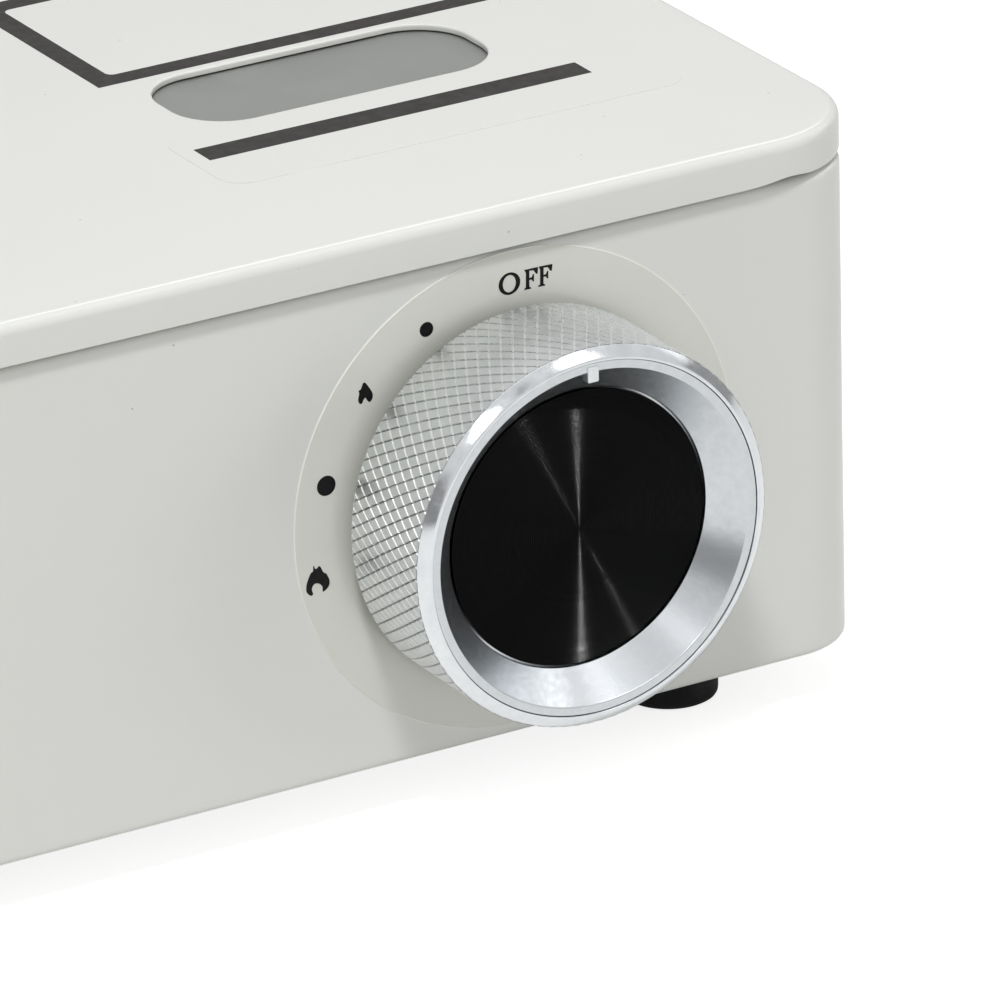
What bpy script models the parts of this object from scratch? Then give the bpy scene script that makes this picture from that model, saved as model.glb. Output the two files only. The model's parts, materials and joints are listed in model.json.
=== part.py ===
# Portable gas stove: a pressed steel case for one gas canister, with a turned aluminium knob.
# Metres. +X is the stove's right, -Y its front, +Z up. The origin is on the ground,
# under the middle of the whole outline.

import math

import bmesh
import bpy
from mathutils import Matrix, Vector

# Driving sizes of the case
body_width = 0.3486
body_depth = 0.275
foot_height = 0.008
knob_axis_height = 0.0457
knob_from_right = 0.0599
panel_top_height = 0.0888
rim_height = 0.00605
panel_front_overhang = 0.0011
panel_side_overhang = 0.0018
panel_corner_radius = 0.0175
lid_width = 0.151
sheet = 0.0009
corner_radius = 0.0118
neck_height = 0.006
neck_inset = 0.0015
shelf_edge_radius = 0.0012
shoulder_radius = 0.003
bottom_fold_radius = 0.0009
flange_width = 0.008
panel_edge_radius = 0.0016
corner_steps = 6
fold_steps = 3

# Clearances
seat_gap = 0.0003
running_gap = 0.0003
part_gap = 0.001
overrun = 0.003
weld_distance = 0.00001

# Knob
knob_radius = 0.0284
knob_gap = 0.0022
knob_reach = 0.0222
knob_chamfer_depth = 0.0013
knob_chamfer_width = 0.0015
knob_wall = 0.0019
knob_back_bevel = 0.0006
dish_lip_drop = 0.0003
dish_lip_width = 0.0012
dish_cone_depth = 0.0047
dish_cone_width = 0.0041
dish_floor = 0.0014
disc_thickness = 0.0009
disc_crown = 0.0003
pointer_width = 0.0017
pointer_length = 0.0022
pointer_rise = 0.0004
pointer_depth = 0.0012
hub_web = 0.0024
hub_boss_radius = 0.009
hub_back_gap = 0.001
hub_bore_depth = 0.0095
knob_steps = 56

# Spindle, ignition cam and igniter
spindle_radius = 0.004
spindle_inner_length = 0.0172
bracket_spindle_hole_radius = 0.0058
wall_hole_radius = 0.0068
cam_gap = 0.0013
cam_plate = 0.002
cam_hub_radius = 0.0076
cam_hub_length = 0.0045
cam_band_inner = 0.0245
cam_band_outer = 0.0295
knob_turn = math.radians(110)
plunger_travel = 0.005
plunger_clearance = 0.0005
plunger_angle = math.radians(140)
plunger_orbit = 0.027
plunger_radius = 0.0015
plunger_length = 0.027
plunger_head_radius = 0.0024
plunger_head_length = 0.0016
cam_margin = math.radians(10)
cam_steps = 10
igniter_radius = 0.0045
igniter_length = 0.034
igniter_nose_radius = 0.0034
igniter_nose_length = 0.004
igniter_bore_slack = 0.0004

# Regulator and its bracket
bracket_setback = 0.012
bracket_left_reach = 0.036
bracket_right_reach = 0.044
bracket_top_drop = 0.0044
bracket_cover_reach = 0.076
bracket_lip = 0.003
bracket_foot_reach = 0.034
bracket_bend_radius = 0.0012
cap_radius = 0.021
cap_length = 0.0058
cap_dome_radius = 0.0125
cap_rim = 0.0026
regulator_flange = 0.0027
regulator_radius = 0.016
regulator_length = 0.024
mouth_radius = 0.019
mouth_length = 0.010
mouth_bore_radius = 0.0085
mouth_bore_depth = 0.012
magnet_inner_radius = 0.012
magnet_outer_radius = 0.0182
magnet_length = 0.003
seal_inner_radius = 0.0022
seal_length = 0.0025
port_radius = 0.0055
port_reach = 0.026
port_setback = 0.034
turned_steps = 28

# Gas pipe, injector and mixing tube
pipe_radius = 0.003
nut_radius = 0.0056
nut_length = 0.0075
pipe_pull_share = 1.3
pipe_points = 14
mixing_axis_drop = 0.0288
mixing_yaw = math.radians(-46)
mixing_room = 0.0328
mixing_inner_distance = 0.0262
mixing_radius = 0.0095
mixing_wall = 0.0012
mixing_bell_radius = 0.013
mixing_bell_length = 0.010
mixing_throat_radius = 0.0080
mixing_throat_distance = 0.070
injector_radius = 0.0052
injector_length = 0.010
injector_tip_radius = 0.0022
injector_tip_length = 0.007
injector_inset = 0.003

# Burner
burner_from_front = 0.1375
burner_base_drop = 0.0428
burner_cup_radius = 0.0295
burner_cup_height = 0.032
burner_wall = 0.0018
burner_head_radius = 0.030
burner_neck_height = 0.0058
crown_height = 0.0085
crown_wall = 0.0030
crown_slot_count = 24
crown_slot_width = 0.0016
crown_slot_depth = 0.0055
burner_cap_height = 0.0035
burner_cap_radius = 0.0285
burner_cap_spigot = 0.0018
burner_steps = 32
bridge_width = 0.026
bridge_span = 0.050
bridge_foot = 0.012
bridge_bend_radius = 0.0016

# Spark electrode
electrode_orbit = 0.0345
electrode_angle = math.radians(215)
insulator_radius = 0.0022
insulator_bottom_drop = 0.0308
insulator_length = 0.030
insulator_bead_radius = 0.0027
insulator_bead_length = 0.003
pin_radius = 0.0008
pin_rise = 0.0065
pin_lean = 0.0022
clip_thickness = 0.0012
clip_width = 0.010
clip_height_share = 0.35
lead_radius = 0.0012
lead_points = 16
lead_floor_rise = 0.0022
lead_straight = 0.004
lead_pull_share = 0.9
lead_nose_pull_share = 0.35
lead_rise_pull_share = 2.9

# Drip tray and pan support
tray_margin = 0.0069
tray_hole_radius = 0.038
tray_wall = 0.0008
tray_depth = 0.0088
tray_rim_width = 0.009
tray_floor_outer_share = 0.93
tray_floor_inner_share = 0.56
tray_lip_rise = 0.004
tray_steps = 44
plate_hole_slack = 0.0014
support_rise = 0.0172
support_ring_width = 0.006
support_ring_thickness = 0.0014
support_arm_thickness = 0.0028
support_arm_inner = 0.026
support_arm_count = 4
support_arm_angle = math.radians(45)
support_tip_depth = 0.0055
support_nose = 0.0025
support_foot_inset = 0.0009
arm_haunch_share = 0.72
arm_haunch_height_share = 0.55

# Heat shield and hinge
hinge_inset = 0.0006
hinge_drop = 0.0036
hinge_pin_radius = 0.0012
knuckle_radius = 0.0023
knuckle_length = 0.010
ear_thickness = 0.0015
ear_height = 0.012
ear_shelf_drop = 0.0021
pin_overhang = 0.0008
hinge_from_end = 0.040
shield_foot = 0.012
shield_top_drop = 0.0068
shield_end_gap = 0.0018
shield_bend_radius = 0.0012
shield_hole_count = 5
shield_hole_radius = 0.005
shield_hole_pitch = 0.026
shield_hole_height = 0.062
grommet_hole_radius = 0.0028
plate_flange_depth = 0.016
plate_flange_end_gap = 0.012
flap_screw_count = 2
flap_screw_pitch = 0.120
flap_screw_height = 0.0035

# Finger opening in the lid, from the knob's axis and the front wall
opening_left = 0.0211
opening_right = 0.0290
opening_front = 0.0496
opening_depth = 0.0211
opening_radius = 0.0088
collar_depth = 0.0006

# Bottom plate, vents and feet
plate_edge_gap = 0.0004
vent_width = 0.004
floor_vent_length = 0.040
floor_vent_count = 6
floor_vent_pitch = 0.014
wall_vent_length = 0.022
wall_vent_height = 0.034
side_vent_count = 6
back_vent_count = 7
wall_vent_pitch = 0.016
foot_radius = 0.0072
foot_inset_right = 0.0256
foot_inset_front = 0.0159
foot_edge_radius = 0.0008
foot_stem_radius = 0.0028
foot_steps = 16

# Canister space
canister_radius = 0.034
canister_clearance = 0.0006
cradle_front = 0.098
cradle_length = 0.150
cradle_half_width = 0.030
cradle_saddle_height = 0.0135

# Screws
screw_head_radius = 0.0028
screw_head_height = 0.0017
screw_shank_radius = 0.0014
screw_hole_slack = 0.0004
screw_grip = 0.0032
screw_head_bevel = 0.0005
screw_steps = 8

# Places worked out from the sizes
front_y = (knob_reach - body_depth - panel_front_overhang) / 2
back_y = front_y + body_depth
middle_y = front_y + body_depth / 2
right_x = body_width / 2
knob_x = right_x - knob_from_right
panel_half_width = body_width / 2 + panel_side_overhang
rim_bottom = panel_top_height - rim_height
body_top = panel_top_height - sheet - seat_gap
shelf_height = body_top - neck_height
floor_low = foot_height + sheet + seat_gap
floor_high = floor_low + sheet
lid_left = panel_half_width - lid_width
hinge_x = lid_left + hinge_inset
hinge_z = panel_top_height - hinge_drop
lid_swing = math.hypot(hinge_inset, hinge_drop)
plate_right = hinge_x - lid_swing - running_gap
shield_x = plate_right + seat_gap
shield_top = hinge_z - shield_top_drop + hinge_drop
burner_x = (plate_right - panel_half_width) / 2
tray_radius = (plate_right + panel_half_width) / 2 - tray_margin
tray_well_radius = tray_radius - tray_rim_width
burner_y = front_y + burner_from_front
foot_x = right_x - foot_inset_right
hinge_places = (front_y + hinge_from_end, back_y - hinge_from_end)
bracket_y = front_y + bracket_setback
bracket_top = panel_top_height - bracket_top_drop
cap_front = bracket_y + sheet + seat_gap
flange_front = cap_front + cap_length + seat_gap
regulator_back = flange_front + regulator_flange + regulator_length
mouth_back = regulator_back + mouth_length
cam_front = front_y + sheet + cam_gap
plunger_x = knob_x - plunger_orbit * math.sin(plunger_angle)
plunger_z = knob_axis_height + plunger_orbit * math.cos(plunger_angle)
port_y = front_y + port_setback
burner_base_height = panel_top_height - burner_base_drop
mixing_axis_height = panel_top_height - mixing_axis_drop
insulator_bottom_height = panel_top_height - insulator_bottom_drop
cup_top = burner_base_height + burner_cup_height
crown_bottom = cup_top + burner_neck_height + seat_gap
mixing_mouth_distance = (shield_x - burner_x - mixing_room) / math.cos(mixing_yaw)
mixing_direction = Vector((math.cos(mixing_yaw), math.sin(mixing_yaw), 0))
burner_axis_point = Vector((burner_x, burner_y, mixing_axis_height))
tray_rim_height = panel_top_height + seat_gap
support_base = tray_rim_height + tray_wall + seat_gap
support_top = panel_top_height + support_rise
flap_screw_z = panel_top_height - plate_flange_depth + flap_screw_height

object_name = "portable_gas_stove"
front_axis = (math.pi / 2, 0, 0)
back_axis = (-math.pi / 2, 0, 0)

for old in list(bpy.data.objects):
    bpy.data.objects.remove(old, do_unlink=True)

parts = bpy.data.collections.new(object_name)
cutters = bpy.data.collections.new("cutters")
bpy.context.scene.collection.children.link(parts)
bpy.context.scene.collection.children.link(cutters)


# Materials
def make_material(name, colour, roughness, metallic):
    material = bpy.data.materials.new(name)
    material.use_nodes = True
    surface = material.node_tree.nodes["Principled BSDF"]
    surface.inputs["Base Color"].default_value = (*colour, 1)
    surface.inputs["Roughness"].default_value = roughness
    surface.inputs["Metallic"].default_value = metallic
    material.diffuse_color = (*colour, 1)
    return material


enamel = make_material("cream_enamel", (0.78, 0.78, 0.74), 0.35, 0)
galvanised = make_material("galvanised_steel", (0.30, 0.31, 0.30), 0.45, 1)
polished_aluminium = make_material("polished_aluminium", (0.80, 0.81, 0.83), 0.18, 1)
satin_aluminium = make_material("satin_aluminium", (0.62, 0.63, 0.64), 0.35, 1)
black_aluminium = make_material("black_turned_aluminium", (0.02, 0.02, 0.022), 0.3, 1)
cast_aluminium = make_material("cast_aluminium", (0.48, 0.48, 0.48), 0.55, 1)
black_plastic = make_material("black_plastic", (0.02, 0.02, 0.02), 0.5, 0)
white_plastic = make_material("white_plastic", (0.75, 0.74, 0.70), 0.45, 0)
black_rubber = make_material("black_rubber", (0.015, 0.015, 0.015), 0.8, 0)
brass = make_material("brass", (0.72, 0.52, 0.24), 0.3, 1)
zinc = make_material("die_cast_zinc", (0.45, 0.46, 0.47), 0.5, 1)
ferrite = make_material("ferrite", (0.05, 0.05, 0.055), 0.7, 0)
ceramic = make_material("white_ceramic", (0.82, 0.80, 0.76), 0.3, 0)
steel = make_material("plated_steel", (0.55, 0.55, 0.54), 0.3, 1)
black_enamel = make_material("black_enamel", (0.012, 0.012, 0.013), 0.25, 0)


# Shared modelling functions
def place(name, mesh, material, location=(0, 0, 0), rotation=(0, 0, 0)):
    item = bpy.data.objects.new(name, mesh)
    item.location = location
    item.rotation_euler = rotation
    mesh.materials.append(material)
    parts.objects.link(item)
    return item


def mesh_from(bm, name, smooth=False):
    mesh = bpy.data.meshes.new(name)
    bmesh.ops.recalc_face_normals(bm, faces=bm.faces)
    bm.to_mesh(mesh)
    bm.free()
    if smooth:
        mesh.shade_smooth()
        mesh.set_sharp_from_angle(angle=math.radians(35))
    return mesh


def hide_as_cutter(item):
    for collection in list(item.users_collection):
        collection.objects.unlink(item)
    cutters.objects.link(item)
    item.hide_render = True
    item.display_type = "WIRE"


def combine(target, tool, operation):
    modifier = target.modifiers.new(tool.name, "BOOLEAN")
    modifier.operation = operation
    modifier.solver = "EXACT"
    modifier.object = tool
    hide_as_cutter(tool)


def box_bmesh(low, high):
    bm = bmesh.new()
    size = Vector(high) - Vector(low)
    centre = (Vector(high) + Vector(low)) / 2
    bmesh.ops.create_cube(bm, size=1, matrix=Matrix.Translation(centre) @ Matrix.Diagonal((*size, 1)))
    return bm


def upright_edges(bm, chosen):
    return [edge for edge in bm.edges
            if abs(edge.verts[0].co.z - edge.verts[1].co.z) > sheet and chosen(edge.verts[0].co)]


def round_edges(bm, edges, radius, steps):
    bmesh.ops.bevel(bm, geom=edges, offset=radius, offset_type="OFFSET", segments=steps,
                    profile=0.5, affect="EDGES", clamp_overlap=False)


def box(name, low, high, material=steel, radius=0, steps=corner_steps):
    bm = box_bmesh(low, high)
    if radius:
        round_edges(bm, upright_edges(bm, lambda corner: True), radius, steps)
    return place(name, mesh_from(bm, name), material)


def turned(name, profile, material, location, rotation=(0, 0, 0), steps=turned_steps, closed=False):
    mesh = bpy.data.meshes.new(name)
    edges = [(i, i + 1) for i in range(len(profile) - 1)]
    if closed:
        edges.append((len(profile) - 1, 0))
    mesh.from_pydata([(radius, 0, height) for radius, height in profile], edges, [])
    item = place(name, mesh, material, location, rotation)
    spin = item.modifiers.new("turn", "SCREW")
    spin.steps = steps
    spin.render_steps = steps
    spin.use_merge_vertices = True
    spin.merge_threshold = weld_distance
    spin.use_smooth_shade = True
    return item


def ring_profile(inner, outer, low, high):
    return [(outer, high), (outer, low), (inner, low), (inner, high)]


def rod(name, radius, start, end, material=steel, steps=screw_steps):
    axis = Vector(end) - Vector(start)
    bm = bmesh.new()
    turn = axis.to_track_quat("Z", "Y").to_matrix().to_4x4()
    middle = Matrix.Translation((Vector(start) + Vector(end)) / 2)
    bmesh.ops.create_cone(bm, cap_ends=True, segments=steps, radius1=radius, radius2=radius,
                          depth=axis.length, matrix=middle @ turn)
    return place(name, mesh_from(bm, name, smooth=True), material)


def wire(name, points, radius, material, resolution=2):
    curve = bpy.data.curves.new(name, "CURVE")
    curve.dimensions = "3D"
    curve.bevel_depth = radius
    curve.bevel_resolution = resolution
    curve.use_fill_caps = True
    spline = curve.splines.new("POLY")
    spline.points.add(len(points) - 1)
    for point, where in zip(spline.points, points):
        point.co = (*where, 1)
    curve.materials.append(material)
    item = bpy.data.objects.new(name, curve)
    parts.objects.link(item)
    return item


def bend(start, start_pull, end, end_pull, count):
    route = []
    for step in range(count + 1):
        share = step / count
        square = share * share
        cube = square * share
        route.append(start * (2 * cube - 3 * square + 1) + start_pull * (cube - 2 * square + share)
                     + end * (3 * square - 2 * cube) + end_pull * (cube - square))
    return route


def folded_strip(name, profile, run, material, bend_radius, thickness=sheet, offset=1):
    mesh = bpy.data.meshes.new(name)
    bm = bmesh.new()
    first = [bm.verts.new(point) for point in profile]
    edges = [bm.edges.new((first[i], first[i + 1])) for i in range(len(first) - 1)]
    moved = bmesh.ops.extrude_edge_only(bm, edges=edges)["geom"]
    bmesh.ops.translate(bm, verts=[v for v in moved if isinstance(v, bmesh.types.BMVert)], vec=run)
    bm.to_mesh(mesh)
    bm.free()
    item = place(name, mesh, material)
    bends = item.modifiers.new("bends", "BEVEL")
    bends.width = bend_radius
    bends.segments = fold_steps
    bends.limit_method = "ANGLE"
    shell = item.modifiers.new("thickness", "SOLIDIFY")
    shell.thickness = thickness
    shell.offset = offset
    shell.use_even_offset = True
    return item


def flat_piece(name, outline, thickness, location, rotation):
    curve = bpy.data.curves.new(name, "CURVE")
    curve.dimensions = "2D"
    curve.fill_mode = "BOTH"
    curve.extrude = thickness / 2
    spline = curve.splines.new("POLY")
    spline.points.add(len(outline) - 1)
    for point, (across, up) in zip(spline.points, outline):
        point.co = (across, up, 0, 1)
    spline.use_cyclic_u = True
    flat = bpy.data.objects.new(f"{name}_outline", curve)
    parts.objects.link(flat)
    flat.location = location
    flat.rotation_euler = rotation
    bpy.context.view_layer.update()
    mesh = bpy.data.meshes.new_from_object(flat.evaluated_get(bpy.context.evaluated_depsgraph_get()))
    bm = bmesh.new()
    bm.from_mesh(mesh)
    bmesh.ops.remove_doubles(bm, verts=bm.verts, dist=weld_distance)
    bm.to_mesh(mesh)
    bm.free()
    item = bpy.data.objects.new(name, mesh)
    item.matrix_world = flat.matrix_world
    parts.objects.link(item)
    bpy.data.objects.remove(flat, do_unlink=True)
    return item


def solidify_inward(item):
    shell = item.modifiers.new("sheet", "SOLIDIFY")
    shell.thickness = sheet
    shell.offset = -1
    shell.use_even_offset = True


def screws(name, places, direction):
    turn = Vector(direction).to_track_quat("Z", "Y").to_euler()
    profile = [(0, screw_head_height), (screw_head_radius - screw_head_bevel, screw_head_height),
               (screw_head_radius, screw_head_height - screw_head_bevel), (screw_head_radius, 0),
               (screw_shank_radius, 0),
               (screw_shank_radius, -screw_grip), (0, -screw_grip)]
    for number, seat in enumerate(places, start=1):
        turned(f"{name}_{number}", profile, steel, Vector(seat) + Vector(direction) * seat_gap, turn,
               screw_steps)


def drill(target, name, radius, start, end, steps=screw_steps):
    combine(target, rod(name, radius, start, end, steps=steps), "DIFFERENCE")


def rows(count, pitch):
    return [(number - (count - 1) / 2) * pitch for number in range(count)]


# Body shell: a drawn wall band, set in above to a neck that the panels' rims hide, with a flange at each end
def make_body_shell():
    bm = box_bmesh((-right_x, front_y, foot_height), (right_x, back_y, shelf_height))
    round_edges(bm, upright_edges(bm, lambda corner: True), corner_radius, corner_steps)
    bm.faces.ensure_lookup_table()
    top = max(bm.faces, key=lambda face: face.calc_center_median().z)
    bottom = min(bm.faces, key=lambda face: face.calc_center_median().z)
    shelf = list(top.edges)
    bmesh.ops.inset_region(bm, faces=[top], thickness=neck_inset, use_even_offset=True)
    bmesh.ops.inset_region(bm, faces=[top], depth=neck_height)
    round_edges(bm, shelf, shelf_edge_radius, fold_steps - 1)
    top = max(bm.faces, key=lambda face: face.calc_center_median().z)
    round_edges(bm, list(top.edges), shoulder_radius, fold_steps - 2)
    round_edges(bm, list(bottom.edges), bottom_fold_radius, fold_steps - 1)
    top = max(bm.faces, key=lambda face: face.calc_center_median().z)
    bottom = min(bm.faces, key=lambda face: face.calc_center_median().z)
    for face, width in ((top, flange_width - neck_inset - shoulder_radius),
                        (bottom, flange_width - bottom_fold_radius)):
        bmesh.ops.inset_region(bm, faces=[face], thickness=width, use_even_offset=True)
        bmesh.ops.delete(bm, geom=[face], context="FACES")
    shell = place("body_shell", mesh_from(bm, "body_shell", smooth=True), enamel)
    solidify_inward(shell)
    drill(shell, "spindle_hole", wall_hole_radius, (knob_x, front_y - overrun, knob_axis_height),
          (knob_x, front_y + overrun, knob_axis_height), steps=turned_steps)
    notch_low = hinge_z - hinge_inset - running_gap - sheet
    for number, end in enumerate((front_y, back_y)):
        reach = flange_width + overrun
        notch = box(f"hinge_notch_{number}", (plate_right - seat_gap, end - reach, notch_low),
                    (hinge_x, end + reach, panel_top_height))
        combine(shell, notch, "DIFFERENCE")
    for number, shift in enumerate(rows(side_vent_count, wall_vent_pitch)):
        cut_vent(shell, f"side_vent_{number}", (-right_x, burner_y + shift), (1, 0))
    for number, shift in enumerate(rows(back_vent_count, wall_vent_pitch)):
        cut_vent(shell, f"back_vent_{number}", (burner_x + shift, back_y), (0, 1))
    for number, (x, y) in enumerate(bottom_screw_places()):
        drill(shell, f"flange_hole_{number}", screw_shank_radius + screw_hole_slack,
              (x, y, foot_height - overrun), (x, y, floor_low))
    return shell


def cut_vent(target, name, where, across):
    reach = Vector((*across, 0)) * overrun
    span = Vector((0, 0, wall_vent_length / 2))
    centre = Vector((*where, wall_vent_height))
    half = Vector((across[1], across[0], 0)) * vent_width / 2
    slot = box(name, centre - span - half - reach, centre + span + half + reach)
    combine(target, slot, "DIFFERENCE")


def bottom_screw_places():
    inset = flange_width / 2 + bottom_fold_radius
    wide = right_x - inset
    return [(side * wide, middle_y + shift) for side in (-1, 1) for shift in rows(2, body_depth / 2)]


# Bottom plate: lies on the body's lower flange and carries feet, burner and regulator
def make_bottom_plate():
    inset = sheet + plate_edge_gap
    plate = box("bottom_plate", (-right_x + inset, front_y + inset, floor_low),
                (right_x - inset, back_y - inset, floor_high), galvanised, corner_radius - inset)
    for number, shift in enumerate(rows(floor_vent_count, floor_vent_pitch)):
        middle = Vector((burner_x + shift, back_y - body_depth / 4, 0))
        half = Vector((vent_width, floor_vent_length, 0)) / 2
        slot = box(f"floor_vent_{number}", middle - half + Vector((0, 0, foot_height)),
                   middle + half + Vector((0, 0, floor_high + overrun)))
        combine(plate, slot, "DIFFERENCE")
    for name, x, y in foot_places():
        drill(plate, f"{name}_hole", foot_stem_radius + seat_gap, (x, y, foot_height),
              (x, y, floor_high + overrun))
    holes = bottom_screw_places() + bracket_screw_places() + bridge_screw_places()
    for number, (x, y) in enumerate(holes):
        drill(plate, f"floor_hole_{number}", screw_shank_radius + screw_hole_slack,
              (x, y, foot_height), (x, y, floor_high + overrun))
    return plate


def foot_places():
    return [(f"foot_{end}_{side}", sign * foot_x, y)
            for end, y in (("front", front_y + foot_inset_front), ("rear", back_y - foot_inset_front))
            for side, sign in (("left", -1), ("right", 1))]


def make_feet():
    top = floor_low - seat_gap
    profile = [(0, floor_high), (foot_stem_radius, floor_high),
               (foot_stem_radius, top), (foot_radius, top), (foot_radius, foot_edge_radius),
               (foot_radius - foot_edge_radius, 0), (0, 0)]
    for name, x, y in foot_places():
        turned(name, profile, black_rubber, (x, y, 0), steps=foot_steps)


# Pressed panels: the burner's top plate and the canister lid share one rim
def pressed_panel(name, left, right, open_left):
    bm = box_bmesh((left, front_y - panel_front_overhang, rim_bottom),
                   (right, back_y + panel_front_overhang, panel_top_height))
    square_x = left if open_left else right
    rounded = upright_edges(bm, lambda corner: abs(corner.x - square_x) > sheet)
    round_edges(bm, rounded, panel_corner_radius, corner_steps)
    top = max(bm.faces, key=lambda face: face.calc_center_median().z)
    rim = [edge for edge in top.edges if not all(abs(v.co.x - square_x) < seat_gap for v in edge.verts)]
    round_edges(bm, rim, panel_edge_radius, fold_steps)
    open_faces = [face for face in bm.faces
                  if all(abs(v.co.z - rim_bottom) < seat_gap for v in face.verts)
                  or all(abs(v.co.x - square_x) < seat_gap for v in face.verts)]
    bmesh.ops.delete(bm, geom=open_faces, context="FACES")
    return bm


def make_canister_lid():
    bm = pressed_panel("canister_lid", lid_left, panel_half_width, open_left=True)
    lid = place("canister_lid", mesh_from(bm, "canister_lid", smooth=True), enamel)
    solidify_inward(lid)
    under = panel_top_height - sheet
    low = Vector((knob_x - opening_left, front_y + opening_front, under - collar_depth))
    high = Vector((knob_x + opening_right, front_y + opening_front + opening_depth, under + sheet / 2))
    wall = Vector((sheet, sheet, 0))
    collar = box("opening_collar", low - wall, high + wall, radius=opening_radius + sheet)
    combine(lid, collar, "UNION")
    beyond = Vector((0, 0, overrun))
    hole = box("opening_cut", low - beyond, high + beyond, radius=opening_radius)
    combine(lid, hole, "DIFFERENCE")
    for number, y in enumerate(hinge_places):
        half = knuckle_length / 2
        neck = box(f"knuckle_neck_{number}", (lid_left, y - half, hinge_z),
                   (hinge_x + knuckle_radius, y + half, under + sheet / 2))
        combine(lid, neck, "UNION")
        barrel = rod(f"knuckle_{number}", knuckle_radius, (hinge_x, y - half, hinge_z),
                     (hinge_x, y + half, hinge_z),
                     steps=screw_steps * 2)
        combine(lid, barrel, "UNION")
        drill(lid, f"knuckle_hole_{number}", hinge_pin_radius + running_gap,
              (hinge_x, y - half - overrun, hinge_z), (hinge_x, y + half + overrun, hinge_z),
              steps=screw_steps)
    return lid


def make_burner_top_plate():
    bm = pressed_panel("burner_top_plate", -panel_half_width, plate_right, open_left=False)
    ends = (front_y + plate_flange_end_gap, back_y - plate_flange_end_gap)
    for y in ends:
        everything = bm.verts[:] + bm.edges[:] + bm.faces[:]
        bmesh.ops.bisect_plane(bm, geom=everything, plane_co=(0, y, 0), plane_no=(0, 1, 0))
    side = [edge for edge in bm.edges
            if all(abs(v.co.x - plate_right) < seat_gap and ends[0] - seat_gap < v.co.y < ends[1] + seat_gap
                   and abs(v.co.z - panel_top_height) < seat_gap for v in edge.verts)]
    moved = bmesh.ops.extrude_edge_only(bm, edges=side)["geom"]
    bmesh.ops.translate(bm, verts=[v for v in moved if isinstance(v, bmesh.types.BMVert)],
                        vec=(0, 0, -plate_flange_depth))
    plate = place("burner_top_plate", mesh_from(bm, "burner_top_plate", smooth=True), enamel)
    solidify_inward(plate)
    radius = tray_well_radius + tray_wall + plate_hole_slack
    drill(plate, "tray_hole", radius, (burner_x, burner_y, rim_bottom),
          (burner_x, burner_y, panel_top_height + overrun), steps=tray_steps)
    for number, shift in enumerate(rows(flap_screw_count, flap_screw_pitch)):
        drill(plate, f"flap_hole_{number}", screw_shank_radius + screw_hole_slack,
              (plate_right - overrun, burner_y + shift, flap_screw_z),
              (plate_right + overrun, burner_y + shift, flap_screw_z))
    return plate


# Heat shield: upright partition with a foot, hinge ears and holes
def ear_outline():
    left = shield_x + sheet / 2
    shelf = hinge_z - ear_shelf_drop
    arc = [(hinge_x + knuckle_radius * math.cos(math.pi * step / screw_steps),
            hinge_z + knuckle_radius * math.sin(math.pi * step / screw_steps))
           for step in range(screw_steps + 1)]
    return [(left, shield_top - ear_height), (hinge_x + knuckle_radius, shield_top - ear_height), *arc,
            (hinge_x - knuckle_radius, shelf), (left, shelf)]


def make_heat_shield():
    start = front_y + sheet + shield_end_gap
    length = body_depth - 2 * (sheet + shield_end_gap)
    low = floor_high + seat_gap
    shield = folded_strip("heat_shield", [(shield_x + shield_foot, start, low), (shield_x, start, low),
                                          (shield_x, start, shield_top)],
                          (0, length, 0), galvanised, shield_bend_radius, offset=1)
    for number, y in enumerate(hinge_places):
        for side in (-1, 1):
            near = y + side * (knuckle_length / 2 + running_gap)
            far = near + side * ear_thickness
            tag = f"{number}_{'front' if side < 0 else 'rear'}"
            ear = flat_piece(f"ear_{tag}", ear_outline(), ear_thickness, (0, (near + far) / 2, 0),
                             (math.pi / 2, 0, 0))
            combine(shield, ear, "UNION")
        reach = knuckle_length / 2 + ear_thickness + overrun
        drill(shield, f"ear_hole_{number}", hinge_pin_radius + running_gap,
              (hinge_x, y - reach, hinge_z), (hinge_x, y + reach, hinge_z))
    for number, shift in enumerate(rows(shield_hole_count, shield_hole_pitch)):
        y = back_y - body_depth / 3 + shift
        drill(shield, f"air_hole_{number}", shield_hole_radius, (shield_x - overrun, y, shield_hole_height),
              (shield_x + overrun, y, shield_hole_height))
    drill(shield, "pipe_hole", pipe_radius + part_gap, (shield_x - overrun, port_y, knob_axis_height),
          (shield_x + overrun, port_y, knob_axis_height), steps=screw_steps * 2)
    drill(shield, "lead_hole", grommet_hole_radius, (shield_x - overrun, lead_y, lead_z),
          (shield_x + overrun, lead_y, lead_z), steps=screw_steps * 2)
    for number, shift in enumerate(rows(flap_screw_count, flap_screw_pitch)):
        drill(shield, f"shield_screw_hole_{number}", screw_shank_radius + screw_hole_slack,
              (shield_x - overrun, burner_y + shift, flap_screw_z),
              (shield_x + overrun, burner_y + shift, flap_screw_z))
    return shield


def make_hinge_pins():
    half = knuckle_length / 2 + running_gap + ear_thickness + pin_overhang
    for end, y in zip(("front", "rear"), hinge_places):
        rod(f"hinge_pin_{end}", hinge_pin_radius, (hinge_x, y - half, hinge_z),
            (hinge_x, y + half, hinge_z))


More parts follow.
